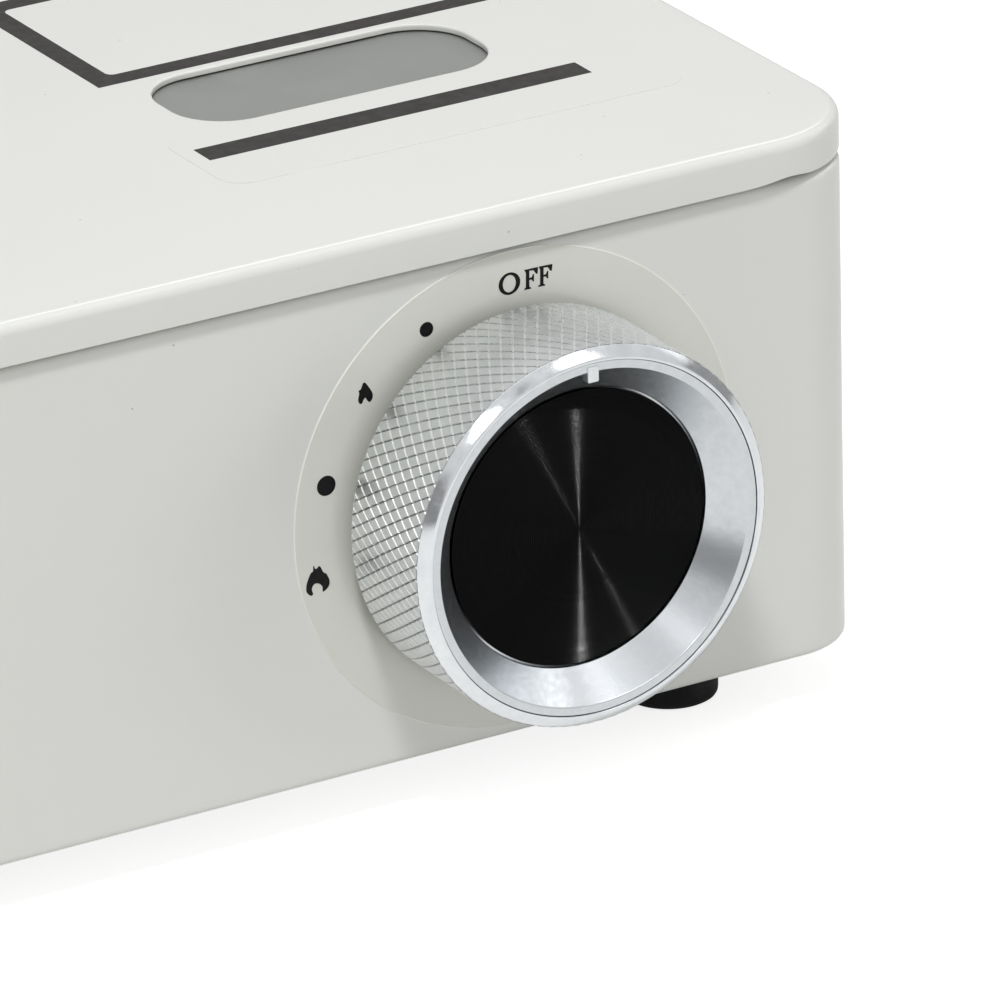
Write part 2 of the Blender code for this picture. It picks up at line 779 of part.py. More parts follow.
# Knob: sleeve, dished front, black disc, nib and moulded hub, turned about one axis
def make_knob():
    centre = (knob_x, front_y, knob_axis_height)
    bore = knob_radius - knob_wall
    front = knob_reach
    shoulder = front - knob_chamfer_depth
    sleeve_lip = knob_radius - knob_chamfer_width
    turned("knob_sleeve",
           [(sleeve_lip, front), (knob_radius, shoulder), (knob_radius, knob_gap + knob_back_bevel),
            (knob_radius - knob_back_bevel, knob_gap), (bore, knob_gap), (bore, front)],
           polished_aluminium, centre, front_axis, knob_steps, closed=True)
    outer = bore - running_gap
    lip = front - dish_lip_drop
    cone_radius = outer - dish_lip_width - dish_cone_width
    cone_end = lip - dish_cone_depth
    disc_back = cone_end - disc_thickness - seat_gap
    dish_back = disc_back - dish_floor
    dish = turned("knob_dish", [(0, disc_back), (cone_radius, disc_back), (cone_radius, cone_end),
                                (outer - dish_lip_width, lip), (outer, lip), (outer, dish_back),
                                (0, dish_back)],
                  satin_aluminium, centre, front_axis, knob_steps)
    turned("knob_disc", [(0, cone_end + disc_crown), (cone_radius - seat_gap, cone_end),
                         (cone_radius - seat_gap, disc_back + seat_gap), (0, disc_back + seat_gap)],
           black_aluminium, centre, front_axis, knob_steps)
    pointer_top = knob_axis_height + outer - seat_gap
    nib_low = (knob_x - pointer_width / 2, front_y - lip - pointer_rise, pointer_top - pointer_length)
    nib_high = (knob_x + pointer_width / 2, front_y - lip + pointer_depth, pointer_top)
    slot_gap = Vector((seat_gap, 0, seat_gap))
    slot = box("pointer_slot", Vector(nib_low) - slot_gap - Vector((0, overrun, 0)),
               Vector(nib_high) + Vector((seat_gap, seat_gap, overrun)))
    combine(dish, slot, "DIFFERENCE")
    box("knob_pointer", nib_low, nib_high, polished_aluminium)
    web_front = dish_back - seat_gap
    web_back = web_front - hub_web
    bore_radius = spindle_radius + seat_gap
    bore_end = hub_back_gap + hub_bore_depth
    turned("knob_hub", [(0, web_front), (outer, web_front), (outer, web_back), (hub_boss_radius, web_back),
                        (hub_boss_radius, hub_back_gap), (bore_radius, hub_back_gap),
                        (bore_radius, bore_end),
                        (0, bore_end)],
           black_plastic, centre, front_axis, turned_steps)


def make_spindle():
    outer_end = hub_back_gap + hub_bore_depth - seat_gap
    turned("valve_spindle",
           [(0, outer_end), (spindle_radius, outer_end), (spindle_radius, -spindle_inner_length),
            (0, -spindle_inner_length)],
           brass, (knob_x, front_y, knob_axis_height), front_axis, turned_steps)


# Ignition cam: a moulded helical ramp that presses the igniter's plunger as the knob turns
def make_ignition_cam():
    start = plunger_angle + cam_margin
    end = plunger_angle - knob_turn - cam_margin
    bm = bmesh.new()
    rings = []
    for step in range(cam_steps + 1):
        angle = start + (end - start) * step / cam_steps
        turned_share = (plunger_angle - angle) / knob_turn
        rise = plunger_travel * max(turned_share, -cam_margin / knob_turn)
        outline = [(spindle_radius + cam_plate, 0), (cam_band_outer, 0), (cam_band_outer, cam_plate + rise),
                   (cam_band_inner, cam_plate + rise), (cam_band_inner, cam_plate / 2),
                   (spindle_radius + cam_plate, cam_plate / 2)]
        rings.append([bm.verts.new((-radius * math.sin(angle), depth, radius * math.cos(angle)))
                      for radius, depth in outline])
    for before, after in zip(rings, rings[1:]):
        for i in range(len(before)):
            j = (i + 1) % len(before)
            bm.faces.new((before[i], before[j], after[j], after[i]))
    bm.faces.new(rings[0])
    bm.faces.new(rings[-1])
    centre = (knob_x, cam_front, knob_axis_height)
    cam = place("ignition_cam", mesh_from(bm, "ignition_cam"), white_plastic, centre)
    hub = rod("cam_hub", cam_hub_radius, (knob_x, cam_front, knob_axis_height),
              (knob_x, cam_front + cam_hub_length, knob_axis_height), steps=turned_steps)
    combine(cam, hub, "UNION")
    drill(cam, "cam_bore", spindle_radius + seat_gap, (knob_x, cam_front - overrun, knob_axis_height),
          (knob_x, cam_front + cam_hub_length + overrun, knob_axis_height), steps=turned_steps)
    return cam


def make_igniter():
    front = bracket_y + sheet + seat_gap
    bore = plunger_head_radius + igniter_bore_slack
    bore_end = igniter_length - igniter_nose_length - igniter_bore_slack
    turned("piezo_igniter", [(0, igniter_length), (igniter_nose_radius, igniter_length),
                             (igniter_nose_radius, igniter_length - igniter_nose_length),
                             (igniter_radius, igniter_length - igniter_nose_length), (igniter_radius, 0),
                             (bore, 0),
                             (bore, bore_end), (0, bore_end)],
           white_plastic, (plunger_x, front, plunger_z), back_axis, screw_steps * 2)
    tip = cam_front + cam_plate + plunger_clearance
    turned("piezo_plunger", [(0, plunger_length), (plunger_head_radius, plunger_length),
                             (plunger_head_radius, plunger_length - plunger_head_length),
                             (plunger_radius, plunger_length - plunger_head_length), (plunger_radius, 0),
                             (0, 0)],
           black_plastic, (plunger_x, tip, plunger_z), back_axis, screw_steps * 2)


# Regulator bracket: one galvanised strip folded into a foot, an upright and a cover
def make_regulator_bracket():
    left = knob_x - bracket_left_reach
    low = floor_high + seat_gap
    cover_end = bracket_y + bracket_cover_reach
    profile = [(left, bracket_y + bracket_foot_reach, low), (left, bracket_y, low),
               (left, bracket_y, bracket_top),
               (left, cover_end, bracket_top), (left, cover_end, bracket_top - bracket_lip)]
    width = bracket_left_reach + bracket_right_reach
    bracket = folded_strip("regulator_bracket", profile, (width, 0, 0), galvanised, bracket_bend_radius,
                           offset=-1)
    drill(bracket, "bracket_spindle_hole", bracket_spindle_hole_radius,
          (knob_x, bracket_y - overrun, knob_axis_height),
          (knob_x, bracket_y + overrun, knob_axis_height), steps=turned_steps)
    drill(bracket, "bracket_plunger_hole", plunger_head_radius + igniter_bore_slack,
          (plunger_x, bracket_y - overrun, plunger_z),
          (plunger_x, bracket_y + overrun, plunger_z), steps=screw_steps * 2)
    for number, (x, y) in enumerate(bracket_screw_places()):
        drill(bracket, f"bracket_hole_{number}", screw_shank_radius + screw_hole_slack,
              (x, y, foot_height), (x, y, floor_high + overrun))
    return bracket


def bracket_screw_places():
    y = bracket_y + bracket_foot_reach - flange_width
    return [(knob_x - bracket_left_reach + flange_width, y),
            (knob_x + bracket_right_reach - flange_width, y)]


# Regulator: die cast body with its mouth for the canister, and a screwed diaphragm cap
def make_regulator():
    centre = (knob_x, 0, knob_axis_height)
    cap = turned("regulator_cap", [(0, flange_front - seat_gap), (cap_radius, flange_front - seat_gap),
                                   (cap_radius, flange_front - seat_gap - cap_rim),
                                   (cap_dome_radius + cap_rim, flange_front - seat_gap - cap_rim),
                                   (cap_dome_radius, cap_front), (0, cap_front)],
                 zinc, centre, back_axis, turned_steps)
    flange_back = flange_front + regulator_flange
    body = turned("regulator_body",
                  [(0, mouth_back - mouth_bore_depth), (mouth_bore_radius, mouth_back - mouth_bore_depth),
                   (mouth_bore_radius, mouth_back), (mouth_radius, mouth_back),
                   (mouth_radius, regulator_back),
                   (regulator_radius, regulator_back), (regulator_radius, flange_back),
                   (cap_radius, flange_back), (cap_radius, flange_front),
                   (0, flange_front)],
                  zinc, centre, back_axis, turned_steps)
    drill(cap, "spindle_socket", spindle_radius + running_gap,
          (knob_x, cap_front - overrun, knob_axis_height),
          (knob_x, front_y + spindle_inner_length + seat_gap, knob_axis_height), steps=turned_steps)
    port = rod("outlet_port", port_radius, (knob_x, port_y, knob_axis_height),
               (knob_x - port_reach, port_y, knob_axis_height), steps=screw_steps * 2)
    combine(body, port, "UNION")
    drill(body, "outlet_bore", pipe_radius + seat_gap,
          (knob_x - regulator_radius, port_y, knob_axis_height),
          (knob_x - port_reach - overrun, port_y, knob_axis_height), steps=screw_steps)
    turned("magnet_ring", ring_profile(magnet_inner_radius, magnet_outer_radius, mouth_back + seat_gap,
                                       mouth_back + seat_gap + magnet_length),
           ferrite, centre, back_axis, turned_steps, closed=True)
    seal_low = mouth_back - mouth_bore_depth + seat_gap
    turned("inlet_seal",
           ring_profile(seal_inner_radius, mouth_bore_radius - seat_gap, seal_low, seal_low + seal_length),
           black_rubber, centre, back_axis, screw_steps * 2, closed=True)


# Gas pipe from the regulator's port to the injector, with a nut at each end
def make_gas_line():
    port_end = Vector((knob_x - port_reach, port_y, knob_axis_height))
    injector_back = burner_axis_point + mixing_direction * (mixing_mouth_distance + injector_length
                                                            - injector_inset)
    past_shield = Vector((shield_x - nut_length, port_y, knob_axis_height))
    before_nut = injector_back + mixing_direction * (nut_length + overrun)
    pull = (before_nut - past_shield).length * pipe_pull_share
    route = [port_end - Vector((seat_gap, 0, 0))]
    route += bend(past_shield, Vector((-pull, 0, 0)), before_nut, -mixing_direction * pull, pipe_points)
    route.append(injector_back + mixing_direction * seat_gap)
    wire("gas_pipe", route, pipe_radius, brass)
    pipe_nut("pipe_nut_regulator", port_end - Vector((seat_gap, 0, 0)), Vector((-1, 0, 0)))
    pipe_nut("pipe_nut_injector", injector_back + mixing_direction * seat_gap, mixing_direction)


def pipe_nut(name, start, direction):
    item = rod(name, nut_radius, start, start + direction * nut_length, brass, steps=6)
    drill(item, f"{name}_bore", pipe_radius + seat_gap, start - direction * overrun,
          start + direction * (nut_length + overrun), steps=screw_steps)


def along_mixing_tube(name, profile, material, steps, closed=False):
    rotation = mixing_direction.to_track_quat("Z", "Y").to_euler()
    return turned(name, profile, material, burner_axis_point, rotation, steps, closed)


def make_mixing_tube():
    bore = mixing_radius - mixing_wall
    mouth = mixing_mouth_distance
    along_mixing_tube("mixing_tube", [
        (mixing_bell_radius, mouth), (mixing_radius, mouth - mixing_bell_length),
        (mixing_radius, mixing_inner_distance),
        (bore, mixing_inner_distance), (mixing_throat_radius - mixing_wall, mixing_throat_distance),
        (mixing_throat_radius, mouth - mixing_bell_length), (mixing_bell_radius - mixing_wall, mouth)],
                      cast_aluminium, screw_steps * 2, closed=True)
    back = mouth + injector_length - injector_inset
    tip = mouth - injector_inset
    along_mixing_tube("injector",
                      [(0, back), (injector_radius, back), (injector_radius, tip + injector_tip_length),
                       (injector_tip_radius, tip + injector_tip_length / 2),
                       (injector_tip_radius, tip), (0, tip)],
                      brass, screw_steps * 2)


# Burner: cast cup, slotted crown and cap on a folded bridge
def make_burner():
    centre = (burner_x, burner_y, 0)
    low = burner_base_height
    neck_top = cup_top + burner_neck_height
    inner = burner_cup_radius - burner_wall
    base = turned("burner_base", [
        (inner, neck_top), (burner_head_radius, neck_top), (burner_head_radius, neck_top - burner_wall),
        (burner_cup_radius, cup_top), (burner_cup_radius, low + burner_wall),
        (burner_cup_radius - burner_wall, low),
        (0, low), (0, low + burner_wall), (inner - burner_wall, low + burner_wall),
        (inner, low + 2 * burner_wall)],
                  cast_aluminium, centre, steps=burner_steps, closed=True)
    side_start = burner_axis_point + mixing_direction * (mixing_inner_distance - overrun)
    side_end = burner_axis_point + mixing_direction * (burner_cup_radius + overrun)
    drill(base, "tube_socket", mixing_radius + seat_gap, side_start, side_end, steps=screw_steps * 2)
    crown_top = crown_bottom + crown_height
    crown = turned("burner_crown",
                   ring_profile(burner_head_radius - crown_wall, burner_head_radius, crown_bottom,
                                crown_top),
                   brass, centre, steps=burner_steps, closed=True)
    slots = bmesh.new()
    for number in range(crown_slot_count):
        turn = Matrix.Rotation(2 * math.pi * (number + 1 / 2) / crown_slot_count, 4, "Z")
        where = Matrix.Translation((burner_head_radius - crown_wall / 2, 0,
                                    crown_top - crown_slot_depth / 2 + overrun / 2))
        size = Matrix.Diagonal((crown_wall * 2, crown_slot_width, crown_slot_depth + overrun, 1))
        bmesh.ops.create_cube(slots, size=1, matrix=turn @ where @ size)
    cutter = place("flame_slots", mesh_from(slots, "flame_slots"), brass, centre)
    combine(crown, cutter, "DIFFERENCE")
    cap_low = crown_top + seat_gap
    spigot = burner_head_radius - crown_wall - seat_gap
    turned("burner_cap",
           [(0, cap_low + burner_cap_height), (burner_cap_radius / 2, cap_low + burner_cap_height),
            (burner_cap_radius, cap_low + burner_cap_height / 2),
            (burner_cap_radius, cap_low), (spigot, cap_low),
            (spigot, cap_low - burner_cap_spigot), (0, cap_low - burner_cap_spigot)],
           black_enamel, centre, steps=burner_steps)


def make_burner_bridge():
    start = burner_y - bridge_width / 2
    low = floor_high + seat_gap
    high = burner_base_height - seat_gap - sheet
    half = bridge_span / 2
    profile = [(burner_x - half - bridge_foot, start, low), (burner_x - half, start, low),
               (burner_x - half, start, high),
               (burner_x + half, start, high), (burner_x + half, start, low),
               (burner_x + half + bridge_foot, start, low)]
    bridge = folded_strip("burner_bracket", profile, (0, bridge_width, 0), galvanised, bridge_bend_radius,
                          offset=-1)
    for number, (x, y) in enumerate(bridge_screw_places()):
        drill(bridge, f"bridge_hole_{number}", screw_shank_radius + screw_hole_slack,
              (x, y, foot_height), (x, y, floor_high + overrun))
    return bridge


def bridge_screw_places():
    reach = bridge_span / 2 + bridge_foot / 2 + sheet
    return [(burner_x - reach, burner_y), (burner_x + reach, burner_y)]


# Spark electrode beside the burner, with its clip, pin and lead
electrode_x = burner_x + electrode_orbit * math.cos(electrode_angle)
electrode_y = burner_y + electrode_orbit * math.sin(electrode_angle)
lead_y = bracket_y + sheet + seat_gap + igniter_length + part_gap
lead_z = floor_high + lead_radius + lead_floor_rise


def make_electrode():
    low = insulator_bottom_height
    high = low + insulator_length
    bead = low + insulator_length / 2
    clip_z = low + insulator_length * clip_height_share
    turned("spark_electrode",
           [(0, high), (insulator_radius, high), (insulator_radius, bead + insulator_bead_length),
            (insulator_bead_radius, bead + insulator_bead_length / 2),
            (insulator_radius, bead),
            (insulator_radius, low), (0, low)],
           ceramic, (electrode_x, electrode_y, 0), steps=screw_steps)
    inward = Vector((burner_x - electrode_x, burner_y - electrode_y, 0)).normalized()
    foot = Vector((electrode_x, electrode_y, high + seat_gap))
    tip = foot + Vector((0, 0, pin_rise))
    wire("electrode_pin", [foot, tip, tip + inward * pin_lean + Vector((0, 0, pin_radius))], pin_radius,
         steel)
    clip_bm = bmesh.new()
    reach = electrode_orbit - burner_cup_radius - seat_gap + insulator_radius * 2
    size = Matrix.Diagonal((reach, clip_width, clip_thickness, 1))
    middle = Matrix.Translation((burner_cup_radius + seat_gap + reach / 2, 0, clip_z))
    bmesh.ops.create_cube(clip_bm, size=1, matrix=middle @ size)
    clip = place("electrode_bracket", mesh_from(clip_bm, "electrode_bracket"), steel,
                 (burner_x, burner_y, 0), (0, 0, electrode_angle))
    drill(clip, "insulator_hole", insulator_radius + seat_gap, (electrode_x, electrode_y, clip_z - overrun),
          (electrode_x, electrode_y, clip_z + overrun), steps=screw_steps)


def make_ignition_lead():
    nose = Vector((plunger_x, bracket_y + sheet + seat_gap + igniter_length + seat_gap, plunger_z))
    clear_of_nose = nose + Vector((0, lead_straight, 0))
    before_shield = Vector((shield_x + lead_straight, lead_y, lead_z))
    past_shield = Vector((shield_x - lead_straight, lead_y, lead_z))
    end = Vector((electrode_x, electrode_y, insulator_bottom_height - seat_gap))
    below_end = end - Vector((0, 0, lead_straight))
    first_pull = (before_shield - clear_of_nose).length * lead_pull_share
    second_pull = (below_end - past_shield).length * lead_pull_share
    rise_pull = Vector((0, 0, (below_end.z - past_shield.z) * lead_rise_pull_share))
    left = Vector((-1, 0, 0))
    route = [nose] + bend(clear_of_nose, Vector((0, first_pull * lead_nose_pull_share, 0)), before_shield,
                          left * first_pull, lead_points // 2)
    route += bend(past_shield, left * second_pull, below_end, rise_pull, lead_points)
    route.append(end)
    wire("ignition_lead", route, lead_radius, black_rubber)


# Canister cradle: a floor strip with two saddles cut to the canister's curve
def make_cradle():
    low = floor_high + seat_gap
    start = front_y + cradle_front
    base = box("canister_cradle", (knob_x - cradle_half_width, start, low),
               (knob_x + cradle_half_width, start + cradle_length, low + sheet),
               galvanised)
    for number, y in enumerate((start, start + cradle_length - sheet)):
        saddle = box(f"saddle_{number}", (knob_x - cradle_half_width, y, low),
                     (knob_x + cradle_half_width, y + sheet, low + cradle_saddle_height))
        combine(base, saddle, "UNION")
    drill(base, "saddle_curve", canister_radius + canister_clearance,
          (knob_x, start - overrun, knob_axis_height),
          (knob_x, start + cradle_length + overrun, knob_axis_height), steps=tray_steps)
    return base


# Drip tray and pan support, both lifted off for cleaning
def make_drip_tray():
    well = tray_well_radius
    floor = tray_rim_height - tray_depth
    floor_outer = well * tray_floor_outer_share
    floor_inner = well * tray_floor_inner_share
    lip = floor + tray_lip_rise
    profile = [(tray_radius, tray_rim_height + tray_wall), (tray_radius, tray_rim_height),
               (well + tray_wall, tray_rim_height),
               (floor_outer + tray_wall, floor), (floor_inner - tray_wall, floor), (tray_hole_radius, lip),
               (tray_hole_radius, lip + tray_wall), (floor_inner, floor + tray_wall),
               (floor_outer, floor + tray_wall),
               (well, tray_rim_height + tray_wall)]
    turned("drip_tray", profile, steel, (burner_x, burner_y, 0), steps=tray_steps, closed=True)


def make_pan_support():
    outer = tray_radius
    inner = outer - support_ring_width
    ring_top = support_base + support_ring_thickness
    support = turned("pan_support", ring_profile(inner, outer, support_base, ring_top), black_enamel,
                     (burner_x, burner_y, 0), steps=tray_steps, closed=True)
    top = support_top
    rise = top - ring_top
    tip_low = top - support_tip_depth
    haunch = support_arm_inner + (inner - support_arm_inner) * arm_haunch_share
    foot_low = support_base + support_ring_thickness / 2
    foot_outer = outer - support_foot_inset
    outline = [(foot_outer, foot_low), (foot_outer, top - support_nose), (foot_outer - support_nose, top),
               (support_arm_inner, top), (support_arm_inner, tip_low),
               (haunch, top - rise * arm_haunch_height_share), (inner + support_foot_inset, foot_low)]
    for number in range(support_arm_count):
        turn = (math.pi / 2, 0, support_arm_angle + number * 2 * math.pi / support_arm_count)
        arm = flat_piece(f"pan_arm_{number}", outline, support_arm_thickness, (burner_x, burner_y, 0), turn)
        combine(support, arm, "UNION")


# Screws
def make_screws():
    screws("bottom_screw", [(x, y, foot_height) for x, y in bottom_screw_places()], (0, 0, -1))
    screws("bracket_screw", [(x, y, floor_high + seat_gap + sheet) for x, y in bracket_screw_places()],
           (0, 0, 1))
    screws("burner_screw", [(x, y, floor_high + seat_gap + sheet) for x, y in bridge_screw_places()],
           (0, 0, 1))
    screws("top_plate_screw",
           [(shield_x + sheet, burner_y + shift, flap_screw_z)
            for shift in rows(flap_screw_count, flap_screw_pitch)],
           (1, 0, 0))


make_body_shell()
make_bottom_plate()
make_feet()
make_canister_lid()
make_burner_top_plate()
make_heat_shield()
make_hinge_pins()
make_knob()
make_spindle()
make_ignition_cam()
make_igniter()
make_regulator_bracket()
make_regulator()
make_gas_line()
make_mixing_tube()
make_burner()
make_burner_bridge()
make_electrode()
make_ignition_lead()
make_cradle()
make_drip_tray()
make_pan_support()
make_screws()
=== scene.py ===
# Looks of a portable gas stove: a pressed steel case in cream enamel with a turned aluminium knob.
# Metres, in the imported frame: +X is the stove's right, -Y its front, +Z up.
import json
import math

import bmesh
import bpy
from mathutils import Matrix, Vector


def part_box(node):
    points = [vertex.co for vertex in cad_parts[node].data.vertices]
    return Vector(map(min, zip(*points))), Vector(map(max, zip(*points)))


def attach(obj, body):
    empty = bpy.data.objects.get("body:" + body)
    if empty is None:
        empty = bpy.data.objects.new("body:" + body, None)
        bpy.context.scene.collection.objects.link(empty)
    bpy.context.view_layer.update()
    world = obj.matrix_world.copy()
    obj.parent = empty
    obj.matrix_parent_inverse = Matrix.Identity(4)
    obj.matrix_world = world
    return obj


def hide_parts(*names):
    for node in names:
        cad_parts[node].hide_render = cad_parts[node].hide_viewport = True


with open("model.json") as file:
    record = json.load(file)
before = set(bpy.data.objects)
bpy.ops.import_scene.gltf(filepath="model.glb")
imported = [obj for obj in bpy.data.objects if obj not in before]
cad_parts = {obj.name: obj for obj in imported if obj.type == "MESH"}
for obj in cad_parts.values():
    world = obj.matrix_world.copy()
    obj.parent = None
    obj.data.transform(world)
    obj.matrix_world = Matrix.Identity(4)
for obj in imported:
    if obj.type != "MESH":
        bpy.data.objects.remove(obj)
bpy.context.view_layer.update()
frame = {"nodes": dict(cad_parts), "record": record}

print("frame loaded:", len(frame["nodes"]), "nodes")

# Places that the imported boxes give
shellLow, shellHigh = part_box("body_shell")
lidLow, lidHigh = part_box("canister_lid")
plateLow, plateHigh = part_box("burner_top_plate")
sleeveLow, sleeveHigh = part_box("knob_sleeve")
trayLow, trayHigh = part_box("drip_tray")
crownLow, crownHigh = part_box("burner_crown")
capLow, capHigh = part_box("burner_cap")

sheet = 0.0009
rimDepth = 0.00605  # from the panels' top to the lower edge of their rims
pinInset = 0.0006  # from the lid's edge to the axis of its hinge pins
flatRun = 0.0006  # a loop so close beside a bend keeps the flat next to it flat
knobCentre = Vector(((sleeveLow.x + sleeveHigh.x) / 2, shellLow.y, (sleeveLow.z + sleeveHigh.z) / 2))
burnerCentre = Vector(((trayLow.x + trayHigh.x) / 2, (trayLow.y + trayHigh.y) / 2, 0))
hingeX = sum(corner.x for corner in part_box("hinge_pin_front")) / 2
lidLeft = hingeX - pinInset
panelTop = plateHigh.z
rimBottom = panelTop - rimDepth
knobFrame = Matrix.Translation(knobCentre) @ Matrix.Rotation(math.pi / 2, 4, "X")  # Z comes out of the front
noiseRange = {"From Min": 0.35, "From Max": 0.65}  # where most of a noise's values lie


# Nodes and colours
def linear(hexText):
    channels = [int(hexText[i:i + 2], 16) / 255 for i in (1, 3, 5)]
    return (*[c / 12.92 if c <= 0.04045 else ((c + 0.055) / 1.055) ** 2.4 for c in channels], 1)


def feed(node, inputs):  # an input takes a plain value, a socket, or another node's first output
    for socket, value in inputs.items():
        source = value.outputs[0] if isinstance(value, bpy.types.Node) else value
        if isinstance(source, bpy.types.NodeSocket):
            node.id_data.links.new(source, node.inputs[socket])
        else:
            node.inputs[socket].default_value = source
    return node


def adder(tree):  # gives the one function that adds a node to this tree, with its settings and links
    def add(kind, inputs=None, **settings):
        node = tree.nodes.new(kind)
        for name, value in settings.items():
            setattr(node, name, value)
        return feed(node, inputs or {})

    return add


def startMaterial(name, **surfaceValues):
    material = bpy.data.materials.new(name)
    material.use_nodes = True
    add = adder(material.node_tree)
    surface = feed(material.node_tree.nodes["Principled BSDF"],
                   {socket.replace("_", " "): value for socket, value in surfaceValues.items()})
    place = add("ShaderNodeTexCoord").outputs["Object"]
    return material, add, surface, place


def bakedCreamEnamel():  # sprayed and baked on pressed steel: glossy, faint orange peel, some dust specks
    look = {"cream": "#E7E8E4", "shade": "#E4E5E0", "speck": "#B6B4AA", "toneSize": 0.09, "peelSize": 0.0016,
            "peelDepth": 0.0000022, "swaySize": 0.035, "swayDepth": 0.00003, "glossSize": 0.0175,
            "speckCell": 0.0062, "speckShare": 0.026, "smoothest": 0.29, "roughest": 0.37}
    material, add, surface, place = startMaterial("baked cream enamel", IOR=1.5, Coat_Weight=0.5,
                                                  Coat_Roughness=0.05)
    drift = add("ShaderNodeTexNoise", {"Vector": place, "Scale": 1 / look["toneSize"], "Detail": 3})
    tone = add("ShaderNodeMix", {0: drift, 6: linear(look["cream"]), 7: linear(look["shade"])},
               data_type="RGBA")
    cells = add("ShaderNodeTexVoronoi", {"Vector": place, "Scale": 1 / look["speckCell"]})
    speck = add("ShaderNodeMath", {0: cells, 1: look["speckShare"]}, operation="LESS_THAN")
    colour = add("ShaderNodeMix", {0: speck, 6: tone.outputs[2], 7: linear(look["speck"])}, data_type="RGBA")
    gloss = add("ShaderNodeTexNoise", {"Vector": place, "Scale": 1 / look["glossSize"], "Detail": 4})
    rough = add("ShaderNodeMapRange", {"Value": gloss, **noiseRange, "To Min": look["smoothest"],
                                       "To Max": look["roughest"]})
    swell = add("ShaderNodeTexNoise", {"Vector": place, "Scale": 1 / look["swaySize"], "Detail": 1})
    sway = add("ShaderNodeBump", {"Height": swell, "Distance": look["swayDepth"]})
    orange = add("ShaderNodeTexNoise", {"Vector": place, "Scale": 1 / look["peelSize"], "Detail": 1})
    peel = add("ShaderNodeBump", {"Height": orange, "Distance": look["peelDepth"], "Normal": sway})
    feed(surface, {"Base Color": colour.outputs[2], "Roughness": rough, "Normal": peel})
    return material


def grained(name, light, dark, grain, rough, depth=0.00001, bumpSize=None, **extra):
    # one base for plain finishes: colour and gloss vary with one grain, and a finer one lifts the surface
    material, add, surface, place = startMaterial(name, **extra)
    tone = add("ShaderNodeTexNoise", {"Vector": place, "Scale": 1 / grain, "Detail": 4, "Roughness": 0.6})
    colour = add("ShaderNodeMix", {0: tone, 6: linear(dark), 7: linear(light)}, data_type="RGBA")
    gloss = add("ShaderNodeMapRange", {"Value": tone, **noiseRange, "To Min": rough[1], "To Max": rough[0]})
    fine = add("ShaderNodeTexNoise", {"Vector": place, "Scale": 1 / (bumpSize or grain / 4), "Detail": 3,
                                      "Roughness": 0.6})
    lift = add("ShaderNodeBump", {"Height": fine, "Distance": depth})
    feed(surface, {"Base Color": colour.outputs[2], "Roughness": gloss, "Normal": lift})
    return material


def galvanisedSheet():  # hot-dip zinc on rolled sheet: dull grey spangle with smeared rolling marks
    look = {"light": "#A4A6A3", "dark": "#969895", "spangle": 0.0075, "wobble": 0.00625, "wobbleReach": 0.004,
            "streakSize": 0.004, "streakStretch": (1, 6, 1), "streakShare": 0.45, "smoothest": 0.45,
            "roughest": 0.62, "depth": 0.000008}
    material, add, surface, place = startMaterial("galvanised sheet steel", Metallic=0.45)
    wobble = add("ShaderNodeTexNoise", {"Vector": place, "Scale": 1 / look["wobble"]})
    pushed = add("ShaderNodeVectorMath", {0: wobble.outputs["Color"], "Scale": look["wobbleReach"]},
                 operation="SCALE")
    warped = add("ShaderNodeVectorMath", {0: place, 1: pushed}, operation="ADD")
    spangle = add("ShaderNodeTexVoronoi", {"Vector": warped, "Scale": 1 / look["spangle"]})
    facet = add("ShaderNodeSeparateColor", {"Color": spangle.outputs["Color"]})
    rolled = add("ShaderNodeMapping", {"Vector": place, "Scale": look["streakStretch"]})
    streak = add("ShaderNodeTexNoise", {"Vector": rolled, "Scale": 1 / look["streakSize"], "Detail": 3,
                                        "Roughness": 0.6})
    share = add("ShaderNodeMix", {0: look["streakShare"], 2: facet, 3: streak})
    tone = add("ShaderNodeMix", {0: share, 6: linear(look["dark"]), 7: linear(look["light"])},
               data_type="RGBA")
    rough = add("ShaderNodeMapRange", {"Value": share, "From Min": 0.2, "From Max": 0.8,
                                       "To Min": look["smoothest"], "To Max": look["roughest"]})
    lift = add("ShaderNodeBump", {"Height": share, "Distance": look["depth"]})
    feed(surface, {"Base Color": tone.outputs[2], "Roughness": rough, "Normal": lift})
    return material


def polishedAluminium():  # turned and polished: fine rings round the axis, small nicks, bright clean metal
    look = {"light": "#F0F2F4", "dark": "#D4D8DD", "groove": 0.00022, "depth": 0.0000035, "alongTurn": 6,
            "patchSize": 0.0022, "nickDepth": 0.00001, "nickShare": 0.6, "smoothest": 0.09, "roughest": 0.19}
    material, add, surface, place = startMaterial("polished turned aluminium", Metallic=1.0)
    lined = add("ShaderNodeUVMap", uv_map="turned")
    rings = add("ShaderNodeMapping", {"Vector": lined, "Scale": (look["alongTurn"], 1 / look["groove"], 1)})
    cut = add("ShaderNodeTexNoise", {"Vector": rings, "Scale": 1.0})
    patches = add("ShaderNodeTexNoise", {"Vector": place, "Scale": 1 / look["patchSize"], "Detail": 4,
                                         "Roughness": 0.7})
    tone = add("ShaderNodeMix", {0: patches, 6: linear(look["dark"]), 7: linear(look["light"])},
               data_type="RGBA")
    rough = add("ShaderNodeMapRange", {"Value": patches, **noiseRange, "To Min": look["smoothest"],
                                       "To Max": look["roughest"]})
    turning = add("ShaderNodeBump", {"Height": cut, "Distance": look["depth"]})
    nicks = add("ShaderNodeBump", {"Height": patches, "Distance": look["nickDepth"],
                                   "Strength": look["nickShare"], "Normal": turning})
    feed(surface, {"Base Color": tone.outputs[2], "Roughness": rough, "Normal": nicks})
    return material


